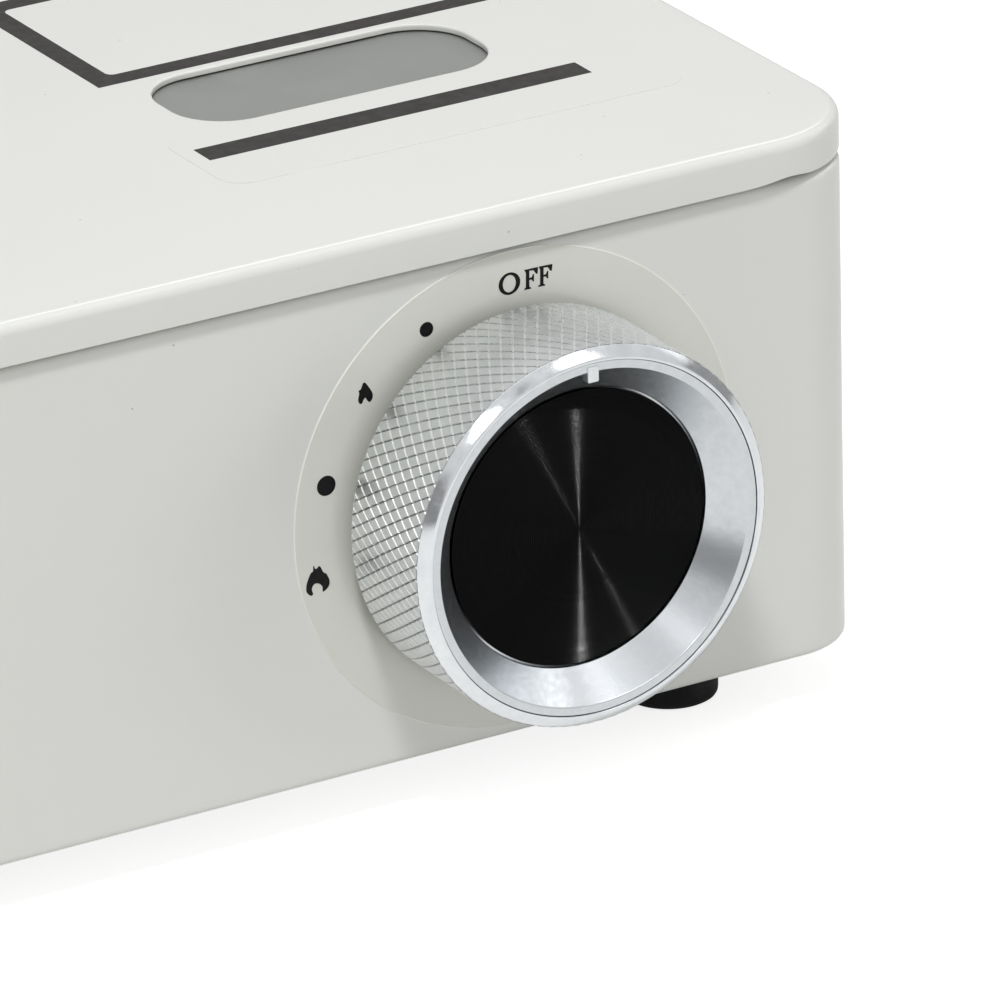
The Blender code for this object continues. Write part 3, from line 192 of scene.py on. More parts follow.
def knurledAluminium():  # rolled diamonds with dull flats; the groove sides carry painted light
    # one way's groove sides get a painted highlight, the other way's a painted shade
    look = {"light": "#F4F6F7", "dark": "#DDE0E2", "bright": "#FFFFFF", "grey": "#9DA0A1", "grain": 0.0015,
            "paintedLightPatch": 0.00075, "leastPaintedLight": 0.35, "depth": 0.000008, "smoothest": 0.29, "roughest": 0.42}
    material, add, surface, place = startMaterial("form-rolled knurled aluminium", Metallic=1.0)
    tone = add("ShaderNodeTexNoise", {"Vector": place, "Scale": 1 / look["grain"], "Detail": 4,
                                      "Roughness": 0.6})
    colour = add("ShaderNodeMix", {0: tone, 6: linear(look["dark"]), 7: linear(look["light"])},
                 data_type="RGBA")
    # this noise is no wear: it only makes the painted highlight and painted shade patchy
    wear = add("ShaderNodeTexNoise", {"Vector": place, "Scale": 1 / look["paintedLightPatch"], "Detail": 3,
                                      "Roughness": 0.7})
    worn = add("ShaderNodeMapRange", {"Value": wear, **noiseRange, "To Min": look["leastPaintedLight"], "To Max": 1})
    side = add("ShaderNodeAttribute", attribute_name="facet").outputs["Fac"]
    for shade, end in (("bright", 1), ("grey", 0)):  # 1: sides with painted highlight, 0: painted shade, 0.5: flats
        turned = add("ShaderNodeMapRange", {"Value": side, "From Min": 0.5, "From Max": end})
        amount = add("ShaderNodeMath", {0: worn, 1: turned}, operation="MULTIPLY")
        colour = add("ShaderNodeMix", {0: amount, 6: colour.outputs[2], 7: linear(look[shade])},
                     data_type="RGBA")
    rough = add("ShaderNodeMapRange", {"Value": tone, **noiseRange, "To Min": look["roughest"],
                                       "To Max": look["smoothest"]})
    fine = add("ShaderNodeTexNoise", {"Vector": place, "Scale": 4 / look["grain"], "Detail": 3,
                                      "Roughness": 0.6})
    lift = add("ShaderNodeBump", {"Height": fine, "Distance": look["depth"]})
    feed(surface, {"Base Color": colour.outputs[2], "Roughness": rough, "Normal": lift})
    return material


def blackTurnedAluminium():  # black anodised over turned grooves, which draw the light out in thin streaks
    # the grooves lie 0.3 mm apart, coarser than real ones, so that they show
    look = {"light": "#020202", "dark": "#010101", "groove": 0.00030, "depth": 0.00012, "bumpStep": 0.01,
            "unevenness": 0.0007, "shallowest": 0.9, "deepest": 1.3}
    material, add, surface, place = startMaterial("black anodised turned aluminium", IOR=1.12, Roughness=0.14)
    fromAxis = add("ShaderNodeVectorMath", {0: place, 1: knobCentre}, operation="SUBTRACT")
    flat = add("ShaderNodeVectorMath", {0: fromAxis, 1: (1, 0, 1)}, operation="MULTIPLY")
    radius = add("ShaderNodeVectorMath", {0: flat}, operation="LENGTH").outputs["Value"]
    phase = add("ShaderNodeMath", {0: radius, 1: 2 * math.pi / look["groove"]}, operation="MULTIPLY")
    wave = add("ShaderNodeMath", {0: phase}, operation="SINE")
    half = add("ShaderNodeMath", {0: wave, 1: 0.5}, operation="MULTIPLY")
    uneven = add("ShaderNodeTexNoise", {"W": radius, "Scale": 1 / look["unevenness"]}, noise_dimensions="1D")
    cut = add("ShaderNodeMapRange", {"Value": uneven, **noiseRange, "To Min": look["shallowest"],
                                     "To Max": look["deepest"]})
    height = add("ShaderNodeMath", {0: half, 1: cut}, operation="MULTIPLY")
    grain = add("ShaderNodeTexNoise", {"Vector": place, "Scale": 1 / look["unevenness"]})
    tone = add("ShaderNodeMix", {0: grain, 6: linear(look["dark"]), 7: linear(look["light"])},
               data_type="RGBA")
    lift = add("ShaderNodeBump", {"Height": height, "Distance": look["depth"],
                                  "Filter Width": look["bumpStep"]})
    feed(surface, {"Base Color": tone.outputs[2], "Normal": lift})
    return material


enamel = bakedCreamEnamel()
galvanised = galvanisedSheet()
polished = polishedAluminium()
knurled = knurledAluminium()
blackTurned = blackTurnedAluminium()
# An even frost with a broad soft sheen: the knob's dish
blasted = grained("bead-blasted aluminium", "#DADDE0", "#C8CCD0", grain=0.0012, rough=(0.22, 0.265),
                  depth=0.000006, bumpSize=0.00022, Metallic=1.0)
# Pale and a little dull: the knob's nib
bare = grained("bare milled aluminium", "#EDEFF0", "#D8DBDE", grain=0.0006, rough=(0.3, 0.42), depth=0.000006,
               Metallic=1.0)
# Thin films over the enamel: slightly warmer, nearly as glossy; the cut edge is painted pale as a painted
# highlight
labelFilm = grained("warm clear vinyl film", "#E2E3DB", "#DDDED6", grain=0.012, rough=(0.2, 0.26),
                    depth=0.000004, bumpSize=0.004, Coat_Weight=0.35, Coat_Roughness=0.08)
clearFilm = grained("clear vinyl film over enamel", "#E6E7E3", "#E3E4DF", grain=0.02, rough=(0.29, 0.37),
                    depth=0.000003, bumpSize=0.004, Coat_Weight=0.5, Coat_Roughness=0.05)
edgePaintedHighlight = grained("cut edge of vinyl film", "#F6F6F0", "#F0F0EA", grain=0.003, rough=(0.3, 0.4),
                    depth=0.000003)
# Flat, dense prints with hardly any gloss
ink = grained("screen-printed black ink", "#111010", "#080808", grain=0.0009, rough=(0.42, 0.55),
              depth=0.000004, bumpSize=0.0003, IOR=1.3)
greyInk = grained("screen-printed dark grey ink", "#353231", "#2B2827", grain=0.002, rough=(0.5, 0.6),
                  depth=0.000004, IOR=1.35)
# Dull black with a fine mould texture: the feet
rubber = grained("moulded black rubber", "#0A0A0A", "#060606", grain=0.003, rough=(0.62, 0.78), depth=0.00002,
                 bumpSize=0.0005, IOR=1.35)
# Grey metals, from the sandy and dull to the smooth
castAluminium = grained("sand-cast aluminium", "#B4B6B7", "#8F9192", grain=0.004, rough=(0.5, 0.66),
                        depth=0.00006, bumpSize=0.0008, Metallic=1.0)
dieCastZinc = grained("die-cast zinc", "#A8ABAE", "#888B8E", grain=0.006, rough=(0.36, 0.52), depth=0.00002,
                      bumpSize=0.002, Metallic=1.0)
nickel = grained("nickel-plated steel", "#D6D5D0", "#B9B8B3", grain=0.012, rough=(0.16, 0.3), depth=0.000006,
                 bumpSize=0.003, Metallic=1.0)
# Warm yellow and bright, a little darker in patches: gas fittings and the burner's crown
brass = grained("turned brass", "#D8B26A", "#B98F48", grain=0.005, rough=(0.22, 0.36), depth=0.000006,
                bumpSize=0.0006, Metallic=1.0)
# Nearly black and stony, and a glassy white beside it
ferrite = grained("sintered ferrite", "#2B2B2D", "#1C1C1E", grain=0.001, rough=(0.6, 0.75))
ceramic = grained("glazed steatite ceramic", "#EFEDE6", "#E2DFD6", grain=0.006, rough=(0.12, 0.2),
                  depth=0.000006, bumpSize=0.002)
# Glassy black, slightly wavy as fired enamel is: pan support and burner cap
blackEnamel = grained("vitreous black enamel", "#191919", "#0D0D0E", grain=0.005, rough=(0.1, 0.2),
                      depth=0.00002, bumpSize=0.0016, Coat_Weight=0.5, Coat_Roughness=0.06)
# Mouldings with a soft even gloss
blackNylon = grained("moulded black nylon", "#202021", "#161617", grain=0.002, rough=(0.4, 0.52))
whiteNylon = grained("moulded natural nylon", "#E6E3D9", "#D8D4C8", grain=0.004, rough=(0.38, 0.48))
leadSleeve = grained("extruded black silicone", "#1B1B1B", "#111111", grain=0.002, rough=(0.4, 0.5))
print("materials made:", len(bpy.data.materials))


# Shared mesh tools
def toPiece(name, bm, smoothAngle=32, flip=True, weldGap=0.0000012):
    bmesh.ops.remove_doubles(bm, verts=bm.verts, dist=weldGap)
    if flip:
        bmesh.ops.recalc_face_normals(bm, faces=bm.faces)
    mesh = bpy.data.meshes.new(name)
    bm.to_mesh(mesh)
    bm.free()
    mesh.shade_smooth()
    mesh.set_sharp_from_angle(angle=math.radians(smoothAngle))
    piece = bpy.data.objects.new(name, mesh)
    bpy.context.scene.collection.objects.link(piece)
    return piece


def settle(piece):  # modifiers become plain mesh
    bpy.context.view_layer.update()
    mesh = bpy.data.meshes.new_from_object(piece.evaluated_get(bpy.context.evaluated_depsgraph_get()))
    piece.modifiers.clear()
    piece.data = mesh
    return piece


def weighNormals(piece, smoothAngle=32):
    piece.data.shade_smooth()
    piece.data.set_sharp_from_angle(angle=math.radians(smoothAngle))
    weigh = piece.modifiers.new("weighted normals", "WEIGHTED_NORMAL")
    weigh.keep_sharp = True
    return settle(piece)


def carry(piece, body, slot, material, *replaced):
    piece.data.materials.clear()
    piece.data.materials.append(material)
    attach(piece, body)
    if replaced:
        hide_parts(*replaced)
    return piece


def softened(profile, closed, steps=4, most=0.49):  # a third number rounds a corner, up to most of a side
    points = []
    for i, corner in enumerate(profile):
        here = Vector(corner[:2])
        soft = corner[2] if len(corner) > 2 else 0
        if not soft or (not closed and i in (0, len(profile) - 1)):
            points.append(tuple(here))
            continue
        before = Vector(profile[i - 1][:2]) - here
        after = Vector(profile[(i + 1) % len(profile)][:2]) - here
        start = here + before.normalized() * min(soft, before.length * most)
        end = here + after.normalized() * min(soft, after.length * most)
        for step in range(steps + 1):
            share = step / steps
            points.append(tuple(start.lerp(here, share).lerp(here.lerp(end, share), share)))
    return points


def lathe(name, profile, steps, matrix, closed=False, smoothAngle=32):
    outline = softened(profile, closed)
    lengths = [0.0]
    for near, far in zip(outline, outline[1:] + outline[:1]):
        lengths.append(lengths[-1] + (Vector(far) - Vector(near)).length)
    bm = bmesh.new()
    uv = bm.loops.layers.uv.new("turned")
    rings = []
    for step in range(steps):
        angle = 2 * math.pi * step / steps
        rings.append([bm.verts.new(matrix @ Vector((r * math.cos(angle), r * math.sin(angle), h)))
                      for r, h in outline])
    for step in range(steps):
        near, far = rings[step], rings[(step + 1) % steps]
        for i in range(len(outline) if closed else len(outline) - 1):
            j = (i + 1) % len(outline)
            face = bm.faces.new((near[i], far[i], far[j], near[j]))
            turns = (step, step + 1, step + 1, step)
            for loop, turn, along in zip(face.loops, turns, (i, i, i + 1, i + 1)):
                loop[uv].uv = (turn / steps, lengths[along])
    return toPiece(name, bm, smoothAngle)


def arc(centreX, centreY, radius, start, end, steps):  # degrees
    turns = [math.radians(start + (end - start) * step / steps) for step in range(steps + 1)]
    return [(centreX + radius * math.cos(turn), centreY + radius * math.sin(turn)) for turn in turns]


def circle(centreX, centreY, radius, steps):
    return arc(centreX, centreY, radius, 0, 360 - 360 / steps, steps - 1)


def roundedOutline(low, high, radius, steps):
    (lowX, lowY), (highX, highY) = low, high
    points = []
    for x, y, start in ((highX - radius, lowY + radius, -90), (highX - radius, highY - radius, 0),
                        (lowX + radius, highY - radius, 90), (lowX + radius, lowY + radius, 180)):
        way = math.radians(start)
        tangent = Vector((-math.sin(way), math.cos(way))) * flatRun
        bend = arc(x, y, radius, start, start + 90, steps)
        points.append((bend[0][0] - tangent.x, bend[0][1] - tangent.y))
        points += bend
        points.append((bend[-1][0] - tangent.y, bend[-1][1] + tangent.x))
    return points


def band(bm, first, second, closed=True):
    for i in range(len(first) if closed else len(first) - 1):
        j = (i + 1) % len(first)
        bm.faces.new((first[i], first[j], second[j], second[i]))


def edgesOf(bm, loop):
    return [bm.edges.get(pair) or bm.edges.new(pair) for pair in zip(loop, loop[1:] + loop[:1])]


def thicken(piece):
    wall = piece.modifiers.new("sheet", "SOLIDIFY")
    wall.thickness = sheet
    wall.offset = -1
    wall.use_even_offset = True
    return settle(piece)


def cutAway(piece, *tools):
    for tool in tools:
        cut = piece.modifiers.new(tool.name, "BOOLEAN")
        cut.operation = "DIFFERENCE"
        cut.solver = "EXACT"
        cut.object = tool
    settle(piece)
    for tool in tools:
        bpy.data.objects.remove(tool, do_unlink=True)
    return piece


def boxPiece(name, low, high, radius=0.0, steps=6):
    outline = roundedOutline(low[:2], high[:2], radius, steps) if radius else [
        (high[0], low[1]), (high[0], high[1]), (low[0], high[1]), (low[0], low[1])]
    bm = bmesh.new()
    base = [bm.verts.new((x, y, low[2])) for x, y in outline]
    top = [bm.verts.new((x, y, high[2])) for x, y in outline]
    band(bm, base, top)
    bm.faces.new(list(reversed(base)))
    bm.faces.new(top)
    return toPiece(name, bm)


# Geometry Nodes: one helper starts a tree, another ends it, and a third makes its result plain mesh
floatKind, wholeKind, vectorKind = "NodeSocketFloat", "NodeSocketInt", "NodeSocketVector"


def startTree(name, inputs):
    tree = bpy.data.node_groups.new(name, "GeometryNodeTree")
    tree.interface.new_socket("Geometry", in_out="INPUT", socket_type="NodeSocketGeometry")
    for label, (kind, value) in inputs.items():
        tree.interface.new_socket(label, in_out="INPUT", socket_type=kind).default_value = value
    tree.interface.new_socket("Material", in_out="INPUT", socket_type="NodeSocketMaterial")
    tree.interface.new_socket("Geometry", in_out="OUTPUT", socket_type="NodeSocketGeometry")
    add = adder(tree)
    return tree, add, add("NodeGroupInput").outputs


def endTree(add, put, geometry):
    real = add("GeometryNodeRealizeInstances", {"Geometry": geometry})
    painted = add("GeometryNodeSetMaterial", {"Geometry": real, "Material": put["Material"]})
    add("NodeGroupOutput", {0: painted})


def grow(name, tree, values, seedMesh=None):
    seed = bpy.data.objects.new(name, seedMesh or bpy.data.meshes.new(name))
    bpy.context.scene.collection.objects.link(seed)
    modifier = seed.modifiers.new(tree.name, "NODES")
    modifier.node_group = tree
    names = {item.name: item.identifier for item in tree.interface.items_tree
             if item.item_type == "SOCKET" and item.in_out == "INPUT"}
    for label, value in values.items():
        modifier[names[label]] = value
    return settle(seed)


# Knurl: flat-topped diamonds in staggered rings round the axis
def knurlTree():
    tree, add, put = startTree("knurl", {
        "Radius": (floatKind, 0.03), "Starts": (wholeKind, 78), "Rows": (wholeKind, 18),
        "Bottom": (floatKind, 0.0), "Depth": (floatKind, 0.0002), "Land": (floatKind, 0.8),
        "Slant": (floatKind, 1.6)})
    count = add("ShaderNodeMath", {0: put["Starts"], 1: put["Rows"]}, operation="MULTIPLY")
    points = add("GeometryNodePoints", {"Count": count})
    index = add("GeometryNodeInputIndex")
    ringsDone = add("ShaderNodeMath", {0: index, 1: put["Starts"]}, operation="DIVIDE")
    row = add("ShaderNodeMath", {0: ringsDone}, operation="FLOOR")
    odd = add("ShaderNodeMath", {0: row, 1: 2}, operation="MODULO")
    inRow = add("ShaderNodeMath", {0: index, 1: put["Starts"]}, operation="MODULO")
    column = add("ShaderNodeMath", {0: odd, 1: 0.5, 2: inRow}, operation="MULTIPLY_ADD")  # odd rows shift
    share = add("ShaderNodeMath", {0: column, 1: put["Starts"]}, operation="DIVIDE")
    angle = add("ShaderNodeMath", {0: share, 1: 2 * math.pi}, operation="MULTIPLY")
    around = add("ShaderNodeMath", {0: put["Radius"], 1: 2 * math.pi}, operation="MULTIPLY")
    pitch = add("ShaderNodeMath", {0: around, 1: put["Starts"]}, operation="DIVIDE")
    half = add("ShaderNodeMath", {0: pitch, 1: 0.5}, operation="MULTIPLY")
    rowHeight = add("ShaderNodeMath", {0: half, 1: put["Slant"]}, operation="MULTIPLY")
    height = add("ShaderNodeMath", {0: row, 1: rowHeight, 2: put["Bottom"]}, operation="MULTIPLY_ADD")
    outward = add("ShaderNodeCombineXYZ", {"X": add("ShaderNodeMath", {0: angle}, operation="COSINE"),
                                           "Y": add("ShaderNodeMath", {0: angle}, operation="SINE")})
    inner = add("ShaderNodeMath", {0: put["Radius"], 1: put["Depth"]}, operation="SUBTRACT").outputs[0]
    spoke = add("ShaderNodeVectorMath", {0: outward, "Scale": inner}, operation="SCALE")
    up = add("ShaderNodeCombineXYZ", {"Z": height})
    where = add("ShaderNodeVectorMath", {0: spoke, 1: up}, operation="ADD")
    placed = add("GeometryNodeSetPosition", {"Geometry": points, "Position": where})
    turn = add("FunctionNodeAxesToRotation", {"Primary Axis": outward, "Secondary Axis": (0, 0, 1)},
               primary_axis="Z", secondary_axis="X")
    land = add("ShaderNodeMath", {0: half, 1: put["Land"]}, operation="MULTIPLY")
    diamond = add("GeometryNodeMeshCone", {"Vertices": 4, "Radius Bottom": half, "Radius Top": land,
                                           "Depth": put["Depth"]})
    # A side's normal lies between the axes, so the sign of x times y tells the two ways of the grooves
    faced = add("ShaderNodeSeparateXYZ", {"Vector": add("GeometryNodeInputNormal")}).outputs
    product = add("ShaderNodeMath", {0: faced["X"], 1: faced["Y"]}, operation="MULTIPLY")
    magnified = add("ShaderNodeMath", {0: product, 1: 50}, operation="MULTIPLY")
    whole = add("ShaderNodeMath", {0: magnified}, operation="ROUND")
    way = add("ShaderNodeMath", {0: whole}, operation="SIGN")
    facet = add("ShaderNodeMath", {0: way, 1: 0.5, 2: 0.5}, operation="MULTIPLY_ADD")
    # the facet mark picks the groove sides the knurled material paints as highlight and those it paints as
    # shade
    marked = add("GeometryNodeStoreNamedAttribute", {"Geometry": diamond, "Name": "facet", "Value": facet},
                 data_type="FLOAT", domain="FACE")
    slender = add("ShaderNodeCombineXYZ", {"X": put["Slant"], "Y": 1, "Z": 1})
    endTree(add, put, add("GeometryNodeInstanceOnPoints", {
        "Points": placed, "Instance": marked, "Rotation": turn, "Scale": slender}))
    return tree


def makeKnob():
    size = {"knurlRadius": 0.0284, "knurlStarts": 88, "slant": 1.64, "knurlDepth": 0.00024, "landShare": 0.82,
            "back": 0.0022, "backBevel": 0.0006, "shoulder": 0.0209, "front": 0.0222, "frontRadius": 0.0269,
            "bore": 0.0265, "seat": 0.0001, "cover": 0.0004, "backSoft": 0.0002, "innerSoft": 0.00012,
            "rimSoft": 0.00022, "steps": 160}
    root = size["knurlRadius"] - size["knurlDepth"]
    spacing = 2 * math.pi * size["knurlRadius"] / size["knurlStarts"]
    rows = math.ceil((size["shoulder"] - size["back"]) / (spacing * size["slant"] / 2)) + 2
    bump = grow("knob_knurl", knurlTree(), {
        "Radius": size["knurlRadius"], "Starts": size["knurlStarts"], "Rows": rows, "Bottom": size["back"],
        "Depth": size["knurlDepth"], "Land": size["landShare"], "Slant": size["slant"], "Material": knurled})
    bm = bmesh.new()
    bm.from_mesh(bump.data)
    for height, way in ((size["back"] + size["backBevel"], -1), (size["shoulder"], 1)):
        bmesh.ops.bisect_plane(bm, geom=bm.verts[:] + bm.edges[:] + bm.faces[:], plane_co=(0, 0, height),
                               plane_no=(0, 0, way), clear_outer=True)
    bm.transform(knobFrame)
    bm.to_mesh(bump.data)
    bm.free()
    carry(bump, "knob", "polished_aluminium", knurled)
    core = lathe("knob_knurl_core", [
        (root, size["shoulder"]), (root, size["back"] + size["backBevel"] + size["seat"], size["backSoft"]),
        (root - size["backBevel"], size["back"], size["backSoft"]), (size["bore"], size["back"])],
        size["steps"], knobFrame)
    carry(core, "knob", "polished_aluminium", knurled)
    ring = lathe("knob_chamfer_ring", [
        (root - size["cover"], size["shoulder"] - size["seat"]),
        (size["knurlRadius"], size["shoulder"], size["innerSoft"]),
        (size["frontRadius"], size["front"], size["rimSoft"]),
        (size["bore"], size["front"], size["innerSoft"]), (size["bore"], size["back"])],
        size["steps"], knobFrame)
    carry(ring, "knob", "polished_aluminium", polished, "knob_sleeve")


def makeDish():
    size = {"outer": 0.02642, "lip": 0.0220, "lipWidth": 0.0012, "coneRadius": 0.0209, "coneEnd": 0.0172,
            "floor": 0.0160, "back": 0.0146, "coneSoft": 0.00015, "lipSoft": 0.0002, "outerSoft": 0.00012,
            "steps": 160}
    dish = lathe("knob_dish_face", [
        (0, size["floor"]), (size["coneRadius"], size["floor"]),
        (size["coneRadius"], size["coneEnd"], size["coneSoft"]),
        (size["outer"] - size["lipWidth"], size["lip"], size["lipSoft"]),
        (size["outer"], size["lip"], size["outerSoft"]),
        (size["outer"], size["back"]), (0, size["back"])], size["steps"], knobFrame)
    carry(weighNormals(dish), "knob", "satin_aluminium", blasted, "knob_dish")
    nib = {"width": 0.0018, "length": 0.0023, "rise": 0.0003, "deep": 0.0012, "inset": 0.0005, "wear": 0.0002,
           "smoothAngle": 50}
    top = size["outer"] - nib["inset"]
    pointer = boxPiece("knob_nib", (-nib["width"] / 2, top - nib["length"], size["lip"] - nib["deep"]),
                       (nib["width"] / 2, top, size["lip"] + nib["rise"]))
    edge = pointer.modifiers.new("worn edges", "BEVEL")
    edge.width = nib["wear"]
    edge.segments = 3
    settle(pointer)
    pointer.data.transform(knobFrame)
    carry(weighNormals(pointer, nib["smoothAngle"]), "knob", "polished_aluminium", bare, "knob_pointer")


def makeDisc():
    size = {"radius": 0.0206, "front": 0.0172, "crown": 0.0003, "crownRadius": 0.010, "crownShare": 0.72,
            "edgeSoft": 0.0002, "back": 0.0163, "steps": 160}
    disc = lathe("knob_face", [
        (0, size["front"] + size["crown"]),
        (size["crownRadius"], size["front"] + size["crown"] * size["crownShare"]),
        (size["radius"], size["front"], size["edgeSoft"]), (size["radius"], size["back"]),
        (0, size["back"])], size["steps"], knobFrame)
    carry(disc, "knob", "black_turned_aluminium", blackTurned, "knob_disc")


makeKnob()
makeDish()
makeDisc()
print("knob made")


# Case: a drawn wall band, its section swept round a rounded rectangle
caseSize = {"cornerRadius": 0.0118, "neckHeight": 0.0053, "neckInset": 0.0015, "shelfEdge": 0.0012,
            "shoulder": 0.0030, "shoulderRun": 0.0003, "fold": 0.0009, "foldRun": 0.0005, "flange": 0.0080,
            "cornerSteps": 24, "shoulderSteps": 8, "foldSteps": 4}
ventSize = {"width": 0.004, "length": 0.022, "height": 0.034, "pitch": 0.016, "reach": 0.008, "sideCount": 6,
            "backCount": 7}
spindleHole = {"radius": 0.0068, "reach": 0.004, "steps": 40}
notchSize = {"left": 0.0003, "reach": 0.011, "depth": 0.0054}


def rowTree():  # a row of round-ended slot cutters along one line
    tree, add, put = startTree("slot row", {
        "Width": (floatKind, 0.004), "Length": (floatKind, 0.02), "Reach": (floatKind, 0.006),
        "Count": (wholeKind, 6), "Step": (vectorKind, (0, 0.016, 0)), "Start": (vectorKind, (0, 0, 0)),
        "Turn": ("NodeSocketRotation", (0, 0, 0))})
    half = add("ShaderNodeMath", {0: put["Width"], 1: 2}, operation="DIVIDE")
    straight = add("ShaderNodeMath", {0: put["Length"], 1: put["Width"]}, operation="SUBTRACT")
    line = add("GeometryNodeMeshLine", {"Count": put["Count"], "Start Location": put["Start"],
                                        "Offset": put["Step"]})
    union = add("GeometryNodeMeshBoolean", operation="UNION", solver="EXACT")
    middle = add("ShaderNodeCombineXYZ", {"X": put["Reach"], "Y": put["Width"], "Z": straight})
    feed(union, {"Mesh 2": add("GeometryNodeMeshCube", {"Size": middle})})
    for sign in (-0.5, 0.5):  # a rod closes each end of the slot
        rod = add("GeometryNodeMeshCylinder", {"Vertices": 24, "Radius": half, "Depth": put["Reach"]})
        offset = add("ShaderNodeMath", {0: straight, 1: sign}, operation="MULTIPLY")
        shift = add("ShaderNodeCombineXYZ", {"Z": offset})
        feed(union, {"Mesh 2": add("GeometryNodeTransform", {"Geometry": rod, "Translation": shift,
                                                             "Rotation": (0, math.pi / 2, 0)})})
    endTree(add, put, add("GeometryNodeInstanceOnPoints", {"Points": line, "Instance": union,
                                                           "Rotation": put["Turn"]}))
    return tree


slotRow = rowTree()


def ventRow(name, centre, along, count, turn):
    step = Vector(along) * ventSize["pitch"]
    start = Vector(centre) - step * (count - 1) / 2
    return grow(name, slotRow, {"Width": ventSize["width"], "Length": ventSize["length"],
                                "Reach": ventSize["reach"], "Count": count, "Step": step, "Start": start,
                                "Turn": turn, "Material": enamel})


def makeCase():
    low, high = shellLow.z, shellHigh.z
    shoulder, fold, flange = caseSize["shoulder"], caseSize["fold"], caseSize["flange"]
    neck, edge = caseSize["neckInset"], caseSize["shelfEdge"]
    shelf = high - caseSize["neckHeight"]
    section = [(flange, high), (neck + shoulder + caseSize["shoulderRun"], high)]
    section += [(neck + shoulder - dx, high - shoulder + dz)
                for dx, dz in arc(0, 0, shoulder, 90, 0, caseSize["shoulderSteps"])]
    section += [(neck, shelf)]
    section += [(edge - dx, shelf - edge + dz)
                for dx, dz in arc(0, 0, edge, 90, 0, caseSize["shoulderSteps"])]
    section += [(0, shelf - edge - flatRun), (0, low + fold + flatRun)]
    section += [(fold - dx, low + fold - dz) for dx, dz in arc(0, 0, fold, 0, 90, caseSize["foldSteps"])]
    section += [(fold + caseSize["foldRun"], low), (flange, low)]
    bm = bmesh.new()
    before = None
    for inset, height in section:
        outline = roundedOutline((shellLow.x + inset, shellLow.y + inset),
                                 (shellHigh.x - inset, shellHigh.y - inset),
                                 caseSize["cornerRadius"] - inset, caseSize["cornerSteps"])
        loop = [bm.verts.new((x, y, height)) for x, y in outline]
        if before:
            band(bm, before, loop)
        before = loop
    shell = thicken(toPiece("case_shell", bm))
    radius, reach = spindleHole["radius"], spindleHole["reach"]
    spindle = lathe("spindle_cut", [(0, reach), (radius, reach), (radius, -reach), (0, -reach)],
                    spindleHole["steps"], knobFrame)
    tools = [spindle,
             ventRow("side_vents", (shellLow.x, burnerCentre.y, ventSize["height"]), (0, 1, 0),
                     ventSize["sideCount"], (0, 0, 0)),
             ventRow("back_vents", (burnerCentre.x, shellHigh.y, ventSize["height"]), (1, 0, 0),
                     ventSize["backCount"], (0, 0, math.pi / 2))]
    for tag, y in (("front", shellLow.y), ("rear", shellHigh.y)):
        tools.append(boxPiece(f"hinge_notch_{tag}", (plateHigh.x - notchSize["left"], y - notchSize["reach"],
                                                     panelTop - notchSize["depth"]),
                              (hingeX, y + notchSize["reach"], panelTop)))
    cutAway(shell, *tools)
    carry(weighNormals(shell), "stove", "cream_enamel", enamel, "body_shell")


makeCase()
print("case made")


# Pressed panels: lid and burner plate share one rim section; a path runs along three sides
panelSize = {"cornerRadius": 0.0175, "edge": 0.0016, "rimRun": 0.0015, "cornerSteps": 24, "edgeSteps": 8,
             "waveSpan": 0.040, "waveSteps": 20, "waveLoops": 2}


def panelPath(openX, closedX, inset, side):
    frontY, backY = lidLow.y + inset, lidHigh.y - inset
    radius = panelSize["cornerRadius"] - inset
    cornerX = side * closedX - inset - radius
    steps = panelSize["waveSteps"]
    path = [(side * openX, frontY)]
    path += [(cornerX - panelSize["waveSpan"] * (1 - step / steps), frontY) for step in range(steps)]
    path += arc(cornerX, frontY + radius, radius, -90, 0, panelSize["cornerSteps"])
    path += [(cornerX + radius, frontY + radius + flatRun), (cornerX + radius, backY - radius - flatRun)]
    path += arc(cornerX, backY - radius, radius, 0, 90, panelSize["cornerSteps"])
    path += [(cornerX - flatRun, backY), (side * openX, backY)]
    return [(side * x, y) for x, y in path]


def pressedPanel(name, openX, closedX, holeLoops, lift=None):  # a lift fades out over the rim's lowest loops
    side = 1 if closedX > openX else -1
    edge, top = panelSize["edge"], panelTop
    section = [(0, rimBottom), (0, rimBottom + panelSize["rimRun"]), (0, top - edge)]
    section += [(edge - dx, top - edge + dz) for dx, dz in arc(0, 0, edge, 0, 90, panelSize["edgeSteps"])][1:]
    section.append((edge + flatRun, top))
    bm = bmesh.new()
    before = None
    for number, (inset, height) in enumerate(section):
        path = panelPath(openX, closedX, inset, side)
        share = max(0, 1 - number / panelSize["waveLoops"])
        loop = [bm.verts.new((x, y, height + (lift(x, y) * share if lift else 0))) for x, y in path]
        if before:
            band(bm, before, loop, closed=False)
        before = loop
    border = edgesOf(bm, before)
    inner = None
    for height, outline in holeLoops:
        loop = [bm.verts.new((x, y, height)) for x, y in outline]
        if inner:
            band(bm, inner, loop)
        else:
            border += edgesOf(bm, loop)
        inner = loop
    bmesh.ops.triangle_fill(bm, use_beauty=True, edges=border, normal=(0, 0, 1))
    piece = toPiece(name, bm)
    if max(piece.data.polygons, key=lambda face: face.area).normal.z < 0:
        piece.data.flip_normals()
    return thicken(piece)


def softRawEdges(piece, width=0.00025, fromAngle=50):
    edge = piece.modifiers.new("deburred edges", "BEVEL")
    edge.width = width
    edge.segments = 2
    edge.limit_method = "ANGLE"
    edge.angle_limit = math.radians(fromAngle)
    return settle(piece)


openingSize = {"left": 0.0215, "right": 0.0297, "front": 0.0496, "depth": 0.0212, "radius": 0.0088,
               "lip": 0.0003, "lipRun": 0.0005, "lipSteps": 6, "steps": 16}
waveSize = {"rise": 0.00055, "fromKnob": 0.0456, "width": 0.0034}
knuckleSize = {"bore": 0.0015, "radius": 0.0023, "halfLength": 0.005, "soft": 0.0003, "steps": 28,
               "strapRise": 0.001, "strapSoft": 0.0002}


